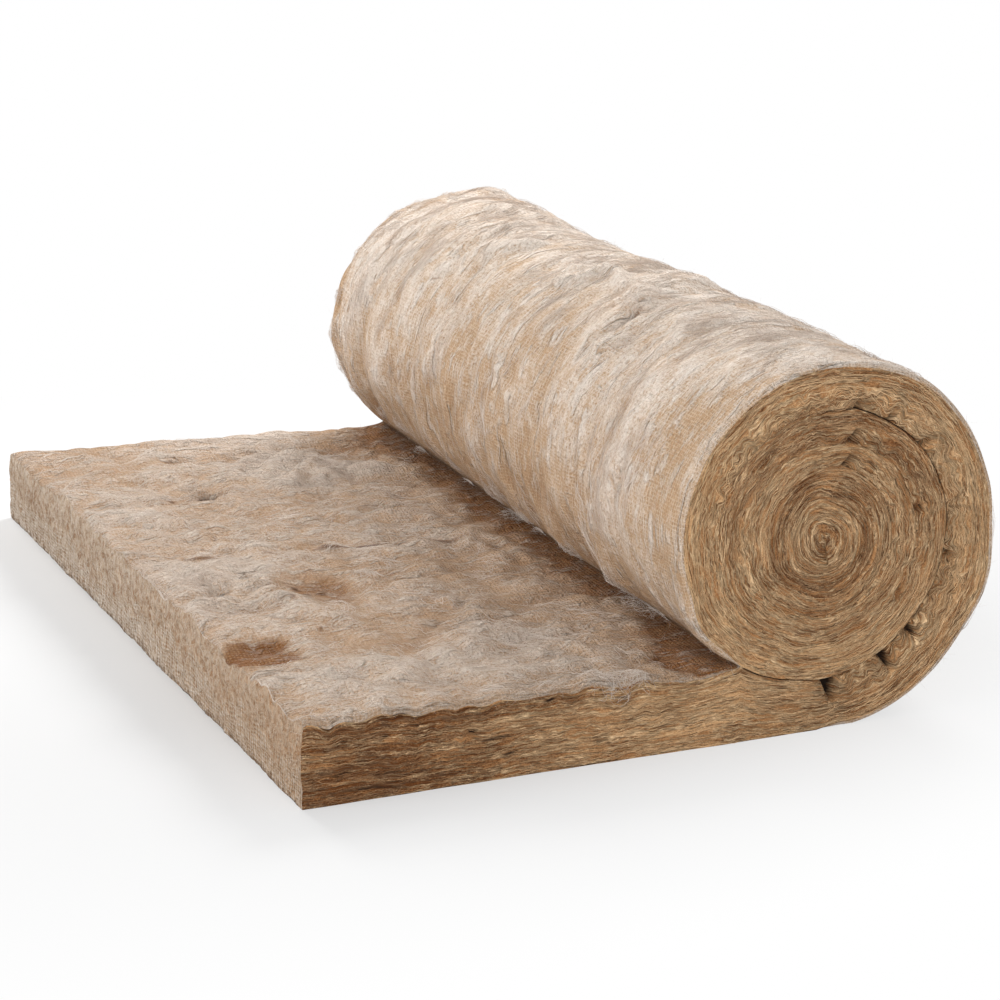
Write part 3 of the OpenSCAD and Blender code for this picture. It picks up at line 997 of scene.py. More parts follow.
def make_skin_wool():
    """Soft pale wool, thin enough in places to show the brown layer below and the fine gauze in it.
    It is combed along the mat, in longer strands on the roll than on the tail, where the pattern is a
    little calmer and the relief stronger."""
    material, tree = new_material("skin_wool")
    place = attribute(tree, "mat_place", "Vector")
    on_tail = calc(tree, "LESS_THAN", add(tree, "ShaderNodeSeparateXYZ", Vector=place).outputs[0], 0.0)
    calm = calc(tree, "MULTIPLY_ADD", on_tail, -0.22, 1.0)
    flow = stir(tree, place, (7.0, 7.0, 7.0), (0.060, 0.0, 0.050))
    loose = stir(tree, flow, (40.0, 40.0, 40.0), (0.014, 0.0, 0.012))
    closer = calc(tree, "MULTIPLY_ADD", on_tail, 0.5, 1.0)
    closer = add(tree, "ShaderNodeCombineXYZ", X=closer, Y=1.0, Z=1.0).outputs[0]
    combed = vector_calc(tree, "MULTIPLY", flow, closer)
    streaks = grain(tree, combed, (8.0, 1.0, 30.0), 4.0, 0.55)
    clouds = grain(tree, loose, (28.0, 1.0, 44.0), 4.0, 0.6)
    puffs = puffy(tree, grain(tree, loose, (60.0, 1.0, 95.0), 2.0, 0.5))
    pulled = ridge(tree, grain(tree, combed, (14.0, 1.0, 150.0), 3.0, 0.55), 0.07)
    felt = grain(tree, place, (280.0, 1.0, 360.0), 2.0, 0.7)
    bent = stir(tree, combed, (40.0, 40.0, 40.0), (0.014, 0.0, 0.012))
    bent = grain(tree, bent, (4.5, 1.0, 32.0), 2.0, 0.5)
    pressed = calc(tree, "MULTIPLY", ramp(tree, clouds, 0.44, 0.60), calm)
    # A pale lip along each fold, partly pale wool and partly painted light, with painted shade beside it
    lip = calc(tree, "MULTIPLY", ridge(tree, bent, 0.045), pressed)
    fold = calc(tree, "MULTIPLY", ridge(tree, calc(tree, "ADD", bent, 0.045), 0.025), pressed)
    cover = sway_by(tree, attribute(tree, "pale"), streaks, calc(tree, "MULTIPLY", calm, 0.40))
    cover = sway_by(tree, cover, clouds, calc(tree, "MULTIPLY", calm, 0.36))
    cover = sway_by(tree, cover, puffs, 0.12)
    cover = sway_by(tree, cover, felt, 0.60)
    cover = calc(tree, "MULTIPLY_ADD", lip, 0.28, cover)
    laid = stir(tree, place, (30.0, 30.0, 30.0), (0.005, 0.0, 0.005))
    parts = add(tree, "ShaderNodeSeparateXYZ", Vector=laid)
    gauze = [wave(tree, parts.outputs[i], GAUZE_PITCH, -0.2, 0.9) for i in (0, 2)]
    crossed = calc(tree, "MAXIMUM", *gauze)
    tan = mix(tree, on_tail, ROLL_TAN, TAIL_TAN)
    colour = mix(tree, ramp(tree, cover, -0.10, 0.42), UNDERLAYER, tan)
    pale = mix(tree, on_tail, ROLL_PALE, TAIL_PALE)
    colour = mix(tree, ramp(tree, cover, 0.36, 0.95), colour, pale)
    bare = calc(tree, "MULTIPLY", ramp(tree, cover, 0.88, 0.28), calc(tree, "SUBTRACT", 1.0, crossed))
    colour = tinted(tree, colour, bare, calc(tree, "MULTIPLY_ADD", on_tail, -0.16, 0.62), BETWEEN_GAUZE)
    strung = calc(tree, "MULTIPLY", pulled, ramp(tree, clouds, 0.40, 0.62))
    colour = tinted(tree, colour, strung, calc(tree, "MULTIPLY", calm, 0.5), PULLED_WOOL)
    # Painted shade in the felt's low places, in the creases between puffs and beside the folds
    colour = tinted(tree, colour, ramp(tree, felt, 0.52, 0.22), 0.48, FELT_SHADE)
    colour = tinted(tree, colour, ramp(tree, puffs, 0.16, 0.0), 0.20, PUFF_SHADE)
    colour = tinted(tree, colour, fold, 0.30, FOLD_SHADE)
    # Painted shade in the fine creases and the deeper dents
    dark = crease_lines(tree, laid, TAIL_CREASES, Y_AXIS, TAIL_CREASE_WIDTH)
    roll_dark = crease_lines(tree, laid, ROLL_CREASES, Y_AXIS, ROLL_CREASE_WIDTH)
    dark = calc(tree, "MULTIPLY_ADD", roll_dark, 0.6, dark)
    pits = sway_by(tree, sway_by(tree, attribute(tree, "dark"), clouds, 0.6), felt, 0.4)
    dark = calc(tree, "MULTIPLY_ADD", ramp(tree, pits, 0.40, 0.80), 0.80, dark, clamp=True)
    colour = mix(tree, dark, colour, mix(tree, on_tail, ROLL_CREASE_SHADE, TAIL_CREASE_SHADE))
    height = calc(tree, "MULTIPLY_ADD", streaks, 0.6, clouds)
    raised = ((puffs, 0.25), (felt, 0.30), (strung, 0.14), (lip, 0.35), (fold, -0.35), (crossed, 0.10))
    for value, amount in raised:
        height = calc(tree, "MULTIPLY_ADD", value, amount, height)
    # Low places turn warmer and darker: browner wool deeper down, and painted shade
    sunk = ramp(tree, height, 1.15, 0.75)
    colour = tinted(tree, colour, sunk, calc(tree, "MULTIPLY_ADD", on_tail, -0.10, 0.46), SUNK_WOOL_SHADE)
    height = calc(tree, "MULTIPLY", height, calc(tree, "MULTIPLY_ADD", on_tail, 0.65, 0.88))
    finish_wool(tree, colour, height, bump_height=0.009, sheen=0.10)
    return material


def buckle(tree, place, per_metre, plain, more):
    """Places on the cut sides shifted by noise, mostly in depth: plainly, and more where the layers are
    crumpled."""
    found = noise_at(tree, place, per_metre, 1.0, 0.5).outputs["Color"]
    centred = vector_calc(tree, "MULTIPLY_ADD", found, (0.4, 1.0, 0.0), (-0.2, -0.5, 0.0))
    reach = calc(tree, "MULTIPLY_ADD", attribute(tree, "crumple"), more, plain)
    shift = add(tree, "ShaderNodeVectorMath", {"operation": "SCALE"}, Vector=centred, Scale=reach)
    return vector_calc(tree, "ADD", shift.outputs[0], place)


def make_cut_wool():
    """The layers of the wool, seen on the mat's cut sides: thin threads, crinkled side by side, with brown
    gaps between them that also carry painted shade."""
    material, tree = new_material("cut_wool")
    place = attribute(tree, "mat_place", "Vector")
    broad = buckle(tree, place, (14.0, 10.0, 1.0), 0.012, 0.0)
    buckled = buckle(tree, broad, (46.0, 24.0, 1.0), 0.0, 0.046)
    uneven = ramp(tree, grain(tree, broad, (9.0, 28.0, 1.0), 2.0, 0.5), 0.40, 0.64)
    crinkle = calc(tree, "MULTIPLY_ADD", uneven, 0.0030, 0.0012)
    wavy = buckle(tree, buckled, (115.0, 62.0, 1.0), crinkle, 0.004)
    bands = grain(tree, broad, (6.0, 60.0, 1.0), 3.0, 0.55)
    strands = ramp(tree, grain(tree, wavy, (14.0, 200.0, 2.0), 3.0, 0.6), 0.34, 0.66)
    torn = grain(tree, wavy, (24.0, 80.0, 5.0), 3.0, 0.6)
    felt = grain(tree, wavy, (280.0, 420.0, 1.0), 2.0, 0.7)
    specks = grain(tree, wavy, (520.0, 760.0, 1.0), 1.0, 0.5)
    coarse = ridge(tree, grain(tree, wavy, (13.0, 170.0, 3.0), 2.0, 0.5), 0.050)
    fine = ridge(tree, grain(tree, wavy, (26.0, 320.0, 11.0), 2.0, 0.5), 0.10)
    coarse = calc(tree, "MULTIPLY", coarse, ramp(tree, torn, 0.34, 0.52))
    fine = calc(tree, "MULTIPLY", fine, ramp(tree, torn, 0.60, 0.44))
    threads = calc(tree, "MAXIMUM", coarse, fine)
    # Dark gaps between the threads: brown wool and painted shade
    gaps = ridge(tree, grain(tree, wavy, (22.0, 230.0, 17.0), 2.0, 0.5), 0.08)
    gaps = calc(tree, "MULTIPLY", gaps, ramp(tree, torn, 0.58, 0.40))
    tone = sway_by(tree, attribute(tree, "pale"), bands, 0.50)
    tone = sway_by(tree, tone, strands, 0.42)
    tone = sway_by(tree, tone, felt, 0.75)
    tone = sway_by(tree, tone, specks, 0.80)
    colour = mix(tree, ramp(tree, tone, -0.05, 0.50), SIDE_BROWN, SIDE_TAN)
    colour = mix(tree, ramp(tree, tone, 0.46, 1.05), colour, SIDE_PALE)
    colour = tinted(tree, colour, gaps, 0.62, SIDE_GAP_SHADE)
    shown = calc(tree, "MULTIPLY_ADD", ramp(tree, tone, -0.1, 0.6), 0.68, 0.20)
    colour = tinted(tree, colour, threads, shown, SIDE_THREADS)
    parts = add(tree, "ShaderNodeSeparateXYZ", Vector=wavy)
    near = calc(tree, "LESS_THAN", parts.outputs[2], 0.0)
    # Painted shade in the crevices, the seams and the crease pits
    deep = crease_lines(tree, wavy, SIDE_CREASES, DEPTH_AXIS, SIDE_CREASE_WIDTH)
    deep = calc(tree, "MULTIPLY_ADD", deep, near, attribute(tree, "dark"))
    deep = sway_by(tree, sway_by(tree, deep, strands, 0.20), felt, 0.35)
    colour = mix(tree, ramp(tree, deep, 0.25, 0.85), colour, SEAM_SHADE)
    height = calc(tree, "MULTIPLY_ADD", threads, 0.6, strands)
    for value, amount in ((felt, 0.5), (specks, 0.35), (gaps, -0.6), (deep, -0.6)):
        height = calc(tree, "MULTIPLY_ADD", value, amount, height)
    finish_wool(tree, colour, height, bump_height=0.0048, sheen=0.03)
    return material


def make_end_wool():
    """The tail's cut end: coarse felt, with upright ribs and rows of the gauze low down and pale wool at
    the top."""
    material, tree = new_material("end_wool")
    place = stir(tree, attribute(tree, "mat_place", "Vector"), (30.0, 30.0, 30.0), (0.0, 0.014, 0.012))
    parts = add(tree, "ShaderNodeSeparateXYZ", Vector=place)
    clouds = grain(tree, place, (1.0, 26.0, 22.0), 3.0, 0.55)
    low = ramp(tree, sway_by(tree, parts.outputs[1], clouds, 0.16), 0.075, 0.035)
    ribs = calc(tree, "MULTIPLY", wave(tree, parts.outputs[2], RIB_PITCH, -0.6, 0.9), low)
    rows = calc(tree, "MULTIPLY", wave(tree, parts.outputs[1], ROW_PITCH, -0.8, 0.8), low)
    frayed = stir(tree, place, (90.0, 90.0, 90.0), (0.0, 0.012, 0.009))
    clumps = ramp(tree, grain(tree, frayed, (1.0, 100.0, 120.0), 3.0, 0.6), 0.34, 0.66)
    felt = grain(tree, place, (1.0, 300.0, 380.0), 2.0, 0.7)
    specks = grain(tree, place, (1.0, 560.0, 700.0), 1.0, 0.5)
    holes = ramp(tree, grain(tree, frayed, (3.0, 130.0, 190.0), 3.0, 0.6), 0.40, 0.27)
    threads = ridge(tree, grain(tree, frayed, (2.0, 60.0, 190.0), 2.0, 0.5), 0.06)
    tone = sway_by(tree, 0.50, clumps, 0.34)
    for value, amount in ((felt, 0.65), (specks, 0.6), (clouds, 0.2), (ribs, 0.30), (rows, 0.20)):
        tone = sway_by(tree, tone, value, amount)
    tone = calc(tree, "MULTIPLY_ADD", attribute(tree, "pale"), 0.16, tone)
    colour = mix(tree, ramp(tree, tone, 0.0, 0.50), END_BROWN, END_TAN)
    colour = mix(tree, ramp(tree, tone, 0.46, 0.95), colour, END_PALE)
    colour = tinted(tree, colour, threads, 0.40, END_THREADS)
    golden = ramp(tree, sway_by(tree, parts.outputs[2], clouds, 0.3), 0.10, -0.60)
    colour = tinted(tree, colour, golden, 0.34, END_GOLDEN)
    # The holes, and a darker band along the bottom edge of the end
    ragged_edge = sway_by(tree, sway_by(tree, parts.outputs[1], clumps, 0.016), felt, 0.02)
    ragged_edge = ramp(tree, ragged_edge, 0.012, 0.004)
    holes_and_edge = calc(tree, "MAXIMUM", calc(tree, "MULTIPLY", holes, 0.50), calc(tree, "MULTIPLY", ragged_edge, 0.40))
    colour = mix(tree, holes_and_edge, colour, END_HOLES_AND_EDGE)
    height = calc(tree, "MULTIPLY_ADD", threads, 0.25, tone)
    height = calc(tree, "MULTIPLY_ADD", holes_and_edge, -0.6, height)
    finish_wool(tree, colour, height, bump_height=0.005, sheen=0.05)
    return material


def make_fibre_wool(name, dark_colour, pale_colour):
    """Loose fibres, each with its own tone."""
    material, tree = new_material(name)
    place = add(tree, "ShaderNodeTexCoord").outputs["Object"]
    wander = grain(tree, place, (60.0, 60.0, 60.0), 2.0, 0.5)
    share = calc(tree, "MULTIPLY_ADD", wander, 0.3, attribute(tree, "tone"), clamp=True)
    colour = mix(tree, share, dark_colour, pale_colour)
    finish_wool(tree, colour, wander, bump_height=0.0005, sheen=0.05)
    return material


# Loose fibres, swept along paths

def make_sweep_tree():
    """Turns paths, which are chains of edges with a radius at each point, into closed fibres."""
    tree = bpy.data.node_groups.new("sweep_fibres", "GeometryNodeTree")
    inputs = {"Paths": "Geometry", "Sides": "Int", "Thickness": "Float", "Fibre": "Material"}
    for name, kind in inputs.items():
        tree.interface.new_socket(name, in_out="INPUT", socket_type="NodeSocket" + kind)
    tree.interface.new_socket("Fibres", in_out="OUTPUT", socket_type="NodeSocketGeometry")
    given = tree.nodes.new("NodeGroupInput")
    curves = add(tree, "GeometryNodeMeshToCurve", Mesh=given.outputs["Paths"])
    radius = add(tree, "GeometryNodeInputNamedAttribute", {"data_type": "FLOAT"}, Name="fibre_radius")
    scaled = calc(tree, "MULTIPLY", radius.outputs[0], given.outputs["Thickness"])
    profile = add(tree, "GeometryNodeCurvePrimitiveCircle", Resolution=given.outputs["Sides"], Radius=1.0)
    swept = add(tree, "GeometryNodeCurveToMesh", Curve=curves.outputs[0], Profile_Curve=profile.outputs[0],
                Scale=scaled, Fill_Caps=True)
    soft = add(tree, "GeometryNodeSetShadeSmooth", Geometry=swept.outputs[0])
    real = add(tree, "GeometryNodeRealizeInstances", Geometry=soft.outputs[0])
    coated = add(tree, "GeometryNodeSetMaterial", Geometry=real.outputs[0], Material=given.outputs["Fibre"])
    out = tree.nodes.new("NodeGroupOutput")
    tree.links.new(coated.outputs[0], out.inputs["Fibres"])
    return tree


def sweep(tree, name, fibres, material):
    """A piece made of fibres: paths, an array of fibre, point and x, y, z, with their radii and tones."""
    paths, radii, tones = fibres
    paths[..., 1] = np.clip(paths[..., 1], -FIBRE_SIDE, FIBRE_SIDE)
    paths[..., 2] = np.clip(paths[..., 2], FIBRE_LOW, FIBRE_TOP)
    count, points = paths.shape[:2]
    mesh = bpy.data.meshes.new(name)
    numbers = np.arange(count * points).reshape(count, points)
    edges = np.stack([numbers[:, :-1].ravel(), numbers[:, 1:].ravel()], 1)
    mesh.from_pydata(paths.reshape(-1, 3).tolist(), edges.tolist(), [])
    for attribute_name, values in (("fibre_radius", radii), ("tone", tones[:, None])):
        layer = mesh.attributes.new(attribute_name, "FLOAT", "POINT")
        spread = np.broadcast_to(values, (count, points))
        layer.data.foreach_set("value", spread.astype(np.float32).ravel())
    piece = bpy.data.objects.new(name, mesh)
    bpy.context.scene.collection.objects.link(piece)
    modifier = piece.modifiers.new("sweep", "NODES")
    modifier.node_group = tree
    sizes = {"Sides": FIBRE_SIDES, "Thickness": 1.0, "Fibre": material}
    for socket in tree.interface.items_tree:
        if socket.in_out == "INPUT" and socket.name in sizes:
            modifier[socket.identifier] = sizes[socket.name]
    piece.update_tag()
    swept = piece.evaluated_get(bpy.context.evaluated_depsgraph_get())
    made = bpy.data.meshes.new_from_object(swept)
    piece.modifiers.clear()
    piece.data = made
    bpy.data.meshes.remove(mesh)
    return piece


def join_fibres(*groups):
    """Several groups of fibres as one."""
    return [np.concatenate(part) for part in zip(*groups)]


def sample(grid, rows, columns):
    """Points of a grid at places between its rows and columns."""
    rows = np.clip(rows, 0, grid.shape[0] - 1.001)
    columns = np.clip(columns, 0, grid.shape[1] - 1.001)
    row, column = rows.astype(int), columns.astype(int)
    down, over = (rows - row)[..., None], (columns - column)[..., None]
    upper = grid[row, column] * (1 - over) + grid[row, column + 1] * over
    lower = grid[row + 1, column] * (1 - over) + grid[row + 1, column + 1] * over
    return upper * (1 - down) + lower * down


def taper(points):
    """Radius along a fibre as a share of its middle."""
    t = np.linspace(0, 1, points)
    return 0.25 + 0.75 * np.sin(math.pi * t) ** 0.6


def skin_paths(skin, on_roll, s, y, lift):
    """Places on the skin, raised by lift along its normal. What reaches past the near edge hangs over."""
    first = 0 if on_roll else skin["roll_rows"]
    count = skin["roll_rows"] if on_roll else skin["tail_rows"]
    grid = skin["points"][first:first + count]
    columns = np.interp(y, width_places(), np.arange(grid.shape[1]))
    if on_roll:
        rows = np.interp(s, skin["mat"][:count, 0, 0], np.arange(count))
        right = s / ROLL_RADIUS - math.pi / 2
        left = (s - TOP_S) / turn_radius(1) + math.pi / 2
        angle = np.where(s < TOP_S, right, left)
        normal = np.stack([np.cos(angle), 0 * angle, np.sin(angle)], -1)
    else:
        end_x = end_x_at(y)
        share = (AXIS_X + s - end_x) / (NIP_X - end_x)
        rows = np.interp(-share, -TAIL_SHARES[TAIL_STEPS - 1::-1], np.arange(count))
        normal = np.broadcast_to((0.0, 0.0, 1.0), s.shape + (3,))
    past = np.minimum(y + HALF_WIDTH, 0)[..., None] * np.array([0.0, 0.4, 0.6])
    return sample(grid, rows, columns) + normal * lift[..., None] + past


def wisps(skin, on_roll, clumps, per_clump, seed, s_range, points=6):
    """Wool in clumps, more of them where the skin is pale: combed along the mat on the roll, every way on
    the tail."""
    rng = np.random.default_rng(seed)
    pale = roll_pale if on_roll else tail_pale
    stray = 0.35 if on_roll else 1.2
    longest = 0.10 if on_roll else 0.05
    thickest = 0.00030 if on_roll else 0.00022
    s0 = rng.uniform(*s_range, clumps * 3)
    y0 = rng.uniform(-HALF_WIDTH + 0.01, HALF_WIDTH - 0.01, clumps * 3)
    chosen = np.flatnonzero(rng.random(clumps * 3) < np.clip(pale(s0, y0), 0, 1) ** 2)[:clumps]
    s0, y0 = (np.repeat(v[chosen], per_clump)[:, None] for v in (s0, y0))
    clumps, count = len(chosen), len(chosen) * per_clump

    def each_clump(values):
        return np.repeat(values, per_clump)[:, None]

    heading = each_clump(rng.normal(0, stray, clumps)) + rng.normal(0, 0.2, (count, 1))
    length = each_clump(rng.uniform(0.02, longest, clumps)) * rng.uniform(0.5, 1.2, (count, 1))
    spread = each_clump(rng.uniform(0.003, 0.016, clumps)) * rng.normal(0, 1, (count, 1))
    curve = each_clump(rng.normal(0, 2.0, clumps)) + rng.normal(0, 2.0, (count, 1))
    t = np.linspace(0, 1, points)[None, :]
    along = (t - 0.5) * length + rng.normal(0, 0.012, (count, 1))
    across = spread * (0.5 + 0.5 * np.sin(math.pi * t)) + curve * along ** 2
    across = across + rng.normal(0, 0.0015, (count, points))
    s = s0 + along * np.cos(heading) - across * np.sin(heading)
    y = y0 + along * np.sin(heading) + across * np.cos(heading)
    high = rng.uniform(0.0003, 0.0035, (count, 1)) * each_clump(rng.uniform(0.4, 1.5, clumps))
    lift = high * np.sin(math.pi * t) ** 0.8 - 0.0004 + rng.normal(0, 0.0003, (count, points))
    s = np.clip(s, s_range[0], s_range[1])
    y = np.clip(y, -HALF_WIDTH + 0.004, HALF_WIDTH - 0.004)
    radii = rng.uniform(0.00011, thickest, (count, 1)) * taper(points)
    tones = each_clump(rng.uniform(0.25, 0.75, clumps))[:, 0] + rng.uniform(-0.1, 0.25, count)
    return skin_paths(skin, on_roll, s, y, lift), radii, tones


def tufts(skin, on_roll, places, per_tuft, seed, points=6):
    """Small tangles of loose wool that stand up from the skin or hang over its near edge."""
    rng = np.random.default_rng(seed)
    s0, y0, size = (np.repeat([place[i] for place in places], per_tuft)[:, None] for i in range(3))
    count = len(s0)
    t = np.linspace(0, 1, points)[None, :]
    heading = rng.uniform(0, 2 * math.pi, (count, 1))
    bend = heading + rng.normal(0, 2.2, (count, 1)) * t
    length = size * rng.uniform(0.5, 1.6, (count, 1)) / points
    s = s0 + size * rng.normal(0, 0.55, (count, 1)) + np.cumsum(length * np.cos(bend), 1)
    y = y0 + size * rng.normal(0, 0.55, (count, 1)) + np.cumsum(length * np.sin(bend), 1)
    away = np.hypot(s - s0, y - y0) / size
    dome = 0.35 * size * np.exp(-away ** 2)
    lift = dome * rng.uniform(0.1, 1.0, (count, 1)) + rng.normal(0, 0.0006, (count, points))
    radii = rng.uniform(0.00011, 0.00025, (count, 1)) * taper(points)
    limit = (ROLL_END_S if on_roll else NIP_S) - NIP_CLEAR
    paths = skin_paths(skin, on_roll, np.minimum(s, limit), y, lift)
    return paths, radii, rng.uniform(0.45, 0.95, count)


def strata(side, far, count, seed, points=8):
    """Wool along the layers of a cut side, slightly proud of it and as wavy as they are."""
    rng = np.random.default_rng(seed)
    grid = side["points"]
    step = np.linalg.norm(np.diff(grid[:, MIDDLE_LAYER], axis=0), axis=1)
    thick = np.linalg.norm(grid[:, -1] - grid[:, 0], axis=1)[:-1]
    share = np.cumsum(step * thick)
    column = np.searchsorted(share, rng.uniform(0, share[-1], count)) + rng.random(count)
    layer = rng.uniform(0.03, 0.97, (count, 1))
    length = rng.uniform(0.012, 0.060, (count, 1))
    t = np.linspace(-0.5, 0.5, points)[None, :]
    local = np.interp(column, np.arange(len(step)), step)[:, None]
    columns = np.clip(column[:, None] + t * length / local, 0, len(step) - 1)
    width = np.interp(columns, np.arange(len(thick)), thick)
    along = np.interp(columns, np.arange(len(side["mat"])), side["mat"][:, 0, 0])
    depth = layer * width
    crumple = sample(side["crumple"][..., None], column[:, None], layer * (len(LAYERS) - 1))[..., 0]
    reach = 0.0015 + 0.009 * crumple
    across = reach * lumps(along, depth, (0.012, 0.030), seed) + rng.normal(0, 0.0003, (count, points))
    across = across + rng.normal(0, 0.12, (count, 1)) * t * length
    across = across + rng.normal(0, 0.0025, (count, 1)) * (2 * t) ** 2
    layers = np.clip(layer + across / width, 0.01, 0.99)
    rows = np.interp(layers, LAYERS, np.arange(len(LAYERS)))
    paths = sample(grid, columns, rows)
    lift = rng.uniform(0.0, 0.0022, (count, 1)) * (1 - (2 * t) ** 2)
    lift = lift + rng.normal(0, 0.0003, (count, points))
    paths[..., 1] += (1 if far else -1) * lift
    radii = rng.uniform(0.00018, 0.00046, (count, 1)) * taper(points)
    tones = 0.45 + 0.5 * lumps(along[:, 0], depth[:, 0], (0.20, 0.012), seed + 1)
    tones = tones + rng.uniform(-0.2, 0.25, count)
    pale = sample(side["pale"][..., None], columns[:, :1], rows[:, :1])[:, 0, 0]
    clear = sample(side["dark"][..., None], columns, rows)[..., 0].max(1) < 0.35
    return paths[clear], radii[clear], np.clip(tones + 1.3 * (pale - 0.5), 0, 1)[clear]


def edge_hairs(skin, count, seed, points=5):
    """Fine hairs that stand out from the mat's edges and from its skin."""
    rng = np.random.default_rng(seed)
    grid = skin["points"]
    rows = rng.uniform(4, len(grid) - 1, count)
    columns = rng.uniform(0, grid.shape[1] - 1, count)
    at_side = rng.random(count) < 0.12
    columns = np.where(at_side, np.where(rng.random(count) < 0.5, 0.5, grid.shape[1] - 1.5), columns)
    root = sample(grid, rows, columns)
    down = sample(grid, rows + 1, columns) - sample(grid, rows - 1, columns)
    over = sample(grid, rows, columns + 1) - sample(grid, rows, columns - 1)
    normal = np.cross(over, down)
    normal /= np.linalg.norm(normal, axis=1)[:, None] + 1e-9
    sideways = np.where(at_side, np.sign(root[:, 1]), 0)[:, None] * np.array([0.0, 1.0, 0.0])
    away = normal * rng.uniform(0.1, 0.8, (count, 1)) + sideways * rng.uniform(0.0, 0.7, (count, 1))
    away += rng.normal(0, 0.8, (count, 3))
    away /= np.linalg.norm(away, axis=1)[:, None]
    curl = rng.normal(0, 0.8, (count, 3))
    length = rng.uniform(0.003, 0.011, (count, 1, 1))
    t = np.linspace(0, 1, points)[None, :, None]
    paths = root[:, None] + length * (t * away[:, None] + t ** 2 * curl[:, None] * 0.6)
    radii = rng.uniform(0.00008, 0.00016, (count, 1)) * np.linspace(1, 0.3, points)
    return paths, radii, rng.uniform(0.3, 1.0, count)


# Studio

def plain_rays(tree):
    """1 for rays that see the background: from the camera, off gloss or through glass."""
    seen = add(tree, "ShaderNodeLightPath")
    shown = calc(tree, "MAXIMUM", seen.outputs["Is Camera Ray"], seen.outputs["Is Glossy Ray"])
    return calc(tree, "MAXIMUM", shown, seen.outputs["Is Transmission Ray"])


def make_floor():
    """A white floor that keeps the soft shadow near the mat and fades to plain white further off."""
    mesh = bpy.data.meshes.new("floor")
    angles = np.linspace(0, 2 * math.pi, FLOOR_CORNERS, endpoint=False)
    ring = [(FLOOR_REACH * math.cos(angle), FLOOR_REACH * math.sin(angle), 0.0) for angle in angles]
    mesh.from_pydata(ring, [], [list(range(FLOOR_CORNERS))])
    floor = bpy.data.objects.new("floor", mesh)
    bpy.context.scene.collection.objects.link(floor)
    material, tree = new_material("white_floor")
    place = add(tree, "ShaderNodeTexCoord").outputs["Object"]
    away = distance(tree, place, FADE_CENTRE, FADE_SIZE)
    fade = ramp(tree, away, FADE_START, FADE_END)
    fade = calc(tree, "MULTIPLY_ADD", fade, 1.0 - FLOOR_WHITE, FLOOR_WHITE)
    matt = add(tree, "ShaderNodeBsdfDiffuse", Color=FLOOR_GREY)
    white = add(tree, "ShaderNodeEmission", Color=WHITE, Strength=1.0)
    both = add(tree, "ShaderNodeMixShader", Fac=calc(tree, "MULTIPLY", fade, plain_rays(tree)))
    tree.links.new(matt.outputs[0], both.inputs[1])
    tree.links.new(white.outputs[0], both.inputs[2])
    add(tree, "ShaderNodeOutputMaterial", Surface=both.outputs[0])
    mesh.materials.append(material)


def make_world():
    """Soft light from all round, seen as plain white."""
    world = bpy.data.worlds.new("studio")
    world.use_nodes = True
    tree = world.node_tree
    tree.nodes.clear()
    strength = calc(tree, "MULTIPLY_ADD", plain_rays(tree), 1.0 - ROOM_LIGHT, ROOM_LIGHT)
    back = add(tree, "ShaderNodeBackground", Color=WHITE, Strength=strength)
    add(tree, "ShaderNodeOutputWorld", Surface=back.outputs[0])
    bpy.context.scene.world = world


def make_lamp(name, place, target, size, watts):
    """A soft box at a place, turned to a target."""
    lamp = bpy.data.lights.new(name, "AREA")
    lamp.shape = "DISK"
    lamp.size = size
    lamp.energy = watts
    box = bpy.data.objects.new(name, lamp)
    bpy.context.scene.collection.objects.link(box)
    look = np.array(target) - np.array(place)
    look = look / np.linalg.norm(look)
    right = np.cross(look, (0.0, 0.0, 1.0))
    right = right / np.linalg.norm(right)
    box.matrix_world = axes_matrix(right, np.cross(right, look), look, place)


def axes_matrix(right, up, forward, place):
    """Placement of a camera or lamp from its own axes."""
    rows = [(right[i], up[i], -forward[i], place[i]) for i in range(3)]
    return Matrix(rows + [(0.0, 0.0, 0.0, 1.0)])


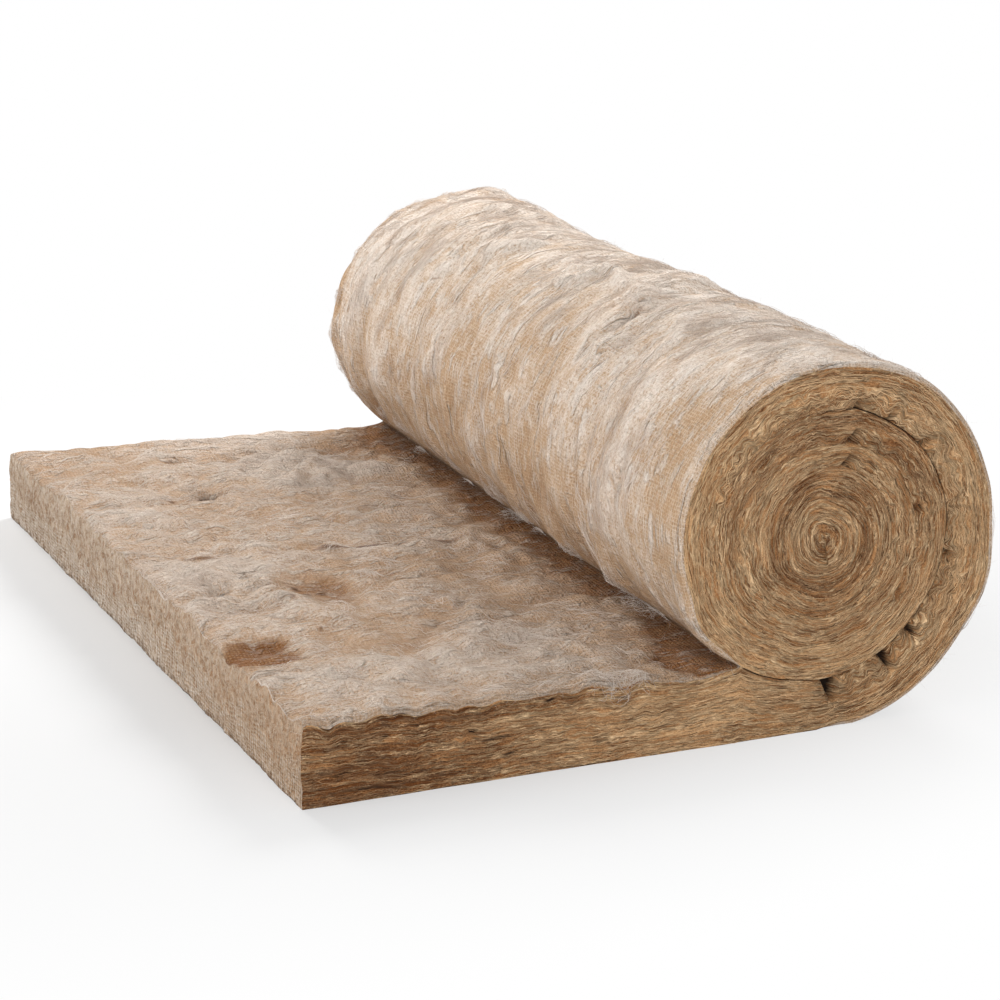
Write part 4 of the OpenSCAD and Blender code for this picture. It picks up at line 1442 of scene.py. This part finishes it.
def make_camera():
    """The camera stands in front of the near end, to the left of it, and looks down along the roll."""
    heading, pitch, tilt = (math.radians(angle) for angle in CAMERA_TURN)
    ahead = math.cos(pitch)
    forward = np.array([math.sin(heading) * ahead, math.cos(heading) * ahead, math.sin(pitch)])
    level = np.array([math.cos(heading), -math.sin(heading), 0.0])
    upright = np.cross(level, forward)
    right = math.cos(tilt) * level + math.sin(tilt) * upright
    up = math.cos(tilt) * upright - math.sin(tilt) * level
    lens = bpy.data.cameras.new("camera")
    lens.sensor_width = SENSOR
    lens.lens = LENS
    camera = bpy.data.objects.new("camera", lens)
    camera.matrix_world = axes_matrix(right, up, forward, CAMERA_PLACE)
    bpy.context.scene.collection.objects.link(camera)
    bpy.context.scene.camera = camera


# The pieces

skin = make_skin()
near_side = make_cut_side(skin, far=False)
far_side = make_cut_side(skin, far=True)
mat = build_mat(skin, (near_side, far_side), [make_skin_wool(), make_cut_wool(), make_end_wool()])
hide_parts("wool_mat")

pale_fibre = make_fibre_wool("pale_fibre", srgb(176, 150, 128), srgb(230, 219, 209))
tan_fibre = make_fibre_wool("tan_fibre", srgb(122, 74, 36), srgb(232, 196, 152))
sweep_tree = make_sweep_tree()
tail_clumps = wisps(skin, on_roll=False, clumps=340, per_clump=12, seed=5, s_range=(-0.66, NIP_S - 0.012))
tail_wisps = sweep(sweep_tree, "tail_wisps", tail_clumps, pale_fibre)
roll_clumps = wisps(skin, on_roll=True, clumps=420, per_clump=12, seed=6, s_range=(0.05, ROLL_END_S - 0.01))
roll_wisps = sweep(sweep_tree, "roll_wisps", roll_clumps, pale_fibre)
tangles = join_fibres(
    tufts(skin, on_roll=False, places=TAIL_TUFTS, per_tuft=120, seed=10),
    tufts(skin, on_roll=True, places=ROLL_TUFTS, per_tuft=100, seed=11),
)
loose_tufts = sweep(sweep_tree, "loose_tufts", tangles, pale_fibre)
cut_layers = join_fibres(
    strata(near_side, far=False, count=2200, seed=7),
    strata(far_side, far=True, count=2200, seed=8),
)
cut_fibres = sweep(sweep_tree, "cut_fibres", cut_layers, tan_fibre)
loose_hairs = sweep(sweep_tree, "loose_hairs", edge_hairs(skin, count=3000, seed=9), pale_fibre)

for piece in (mat, tail_wisps, roll_wisps, loose_tufts, cut_fibres, loose_hairs):
    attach(piece, "root")

make_floor()
make_world()
for lamp in LAMPS:
    make_lamp(*lamp)
make_camera()
bpy.context.scene.view_settings.view_transform = "Standard"
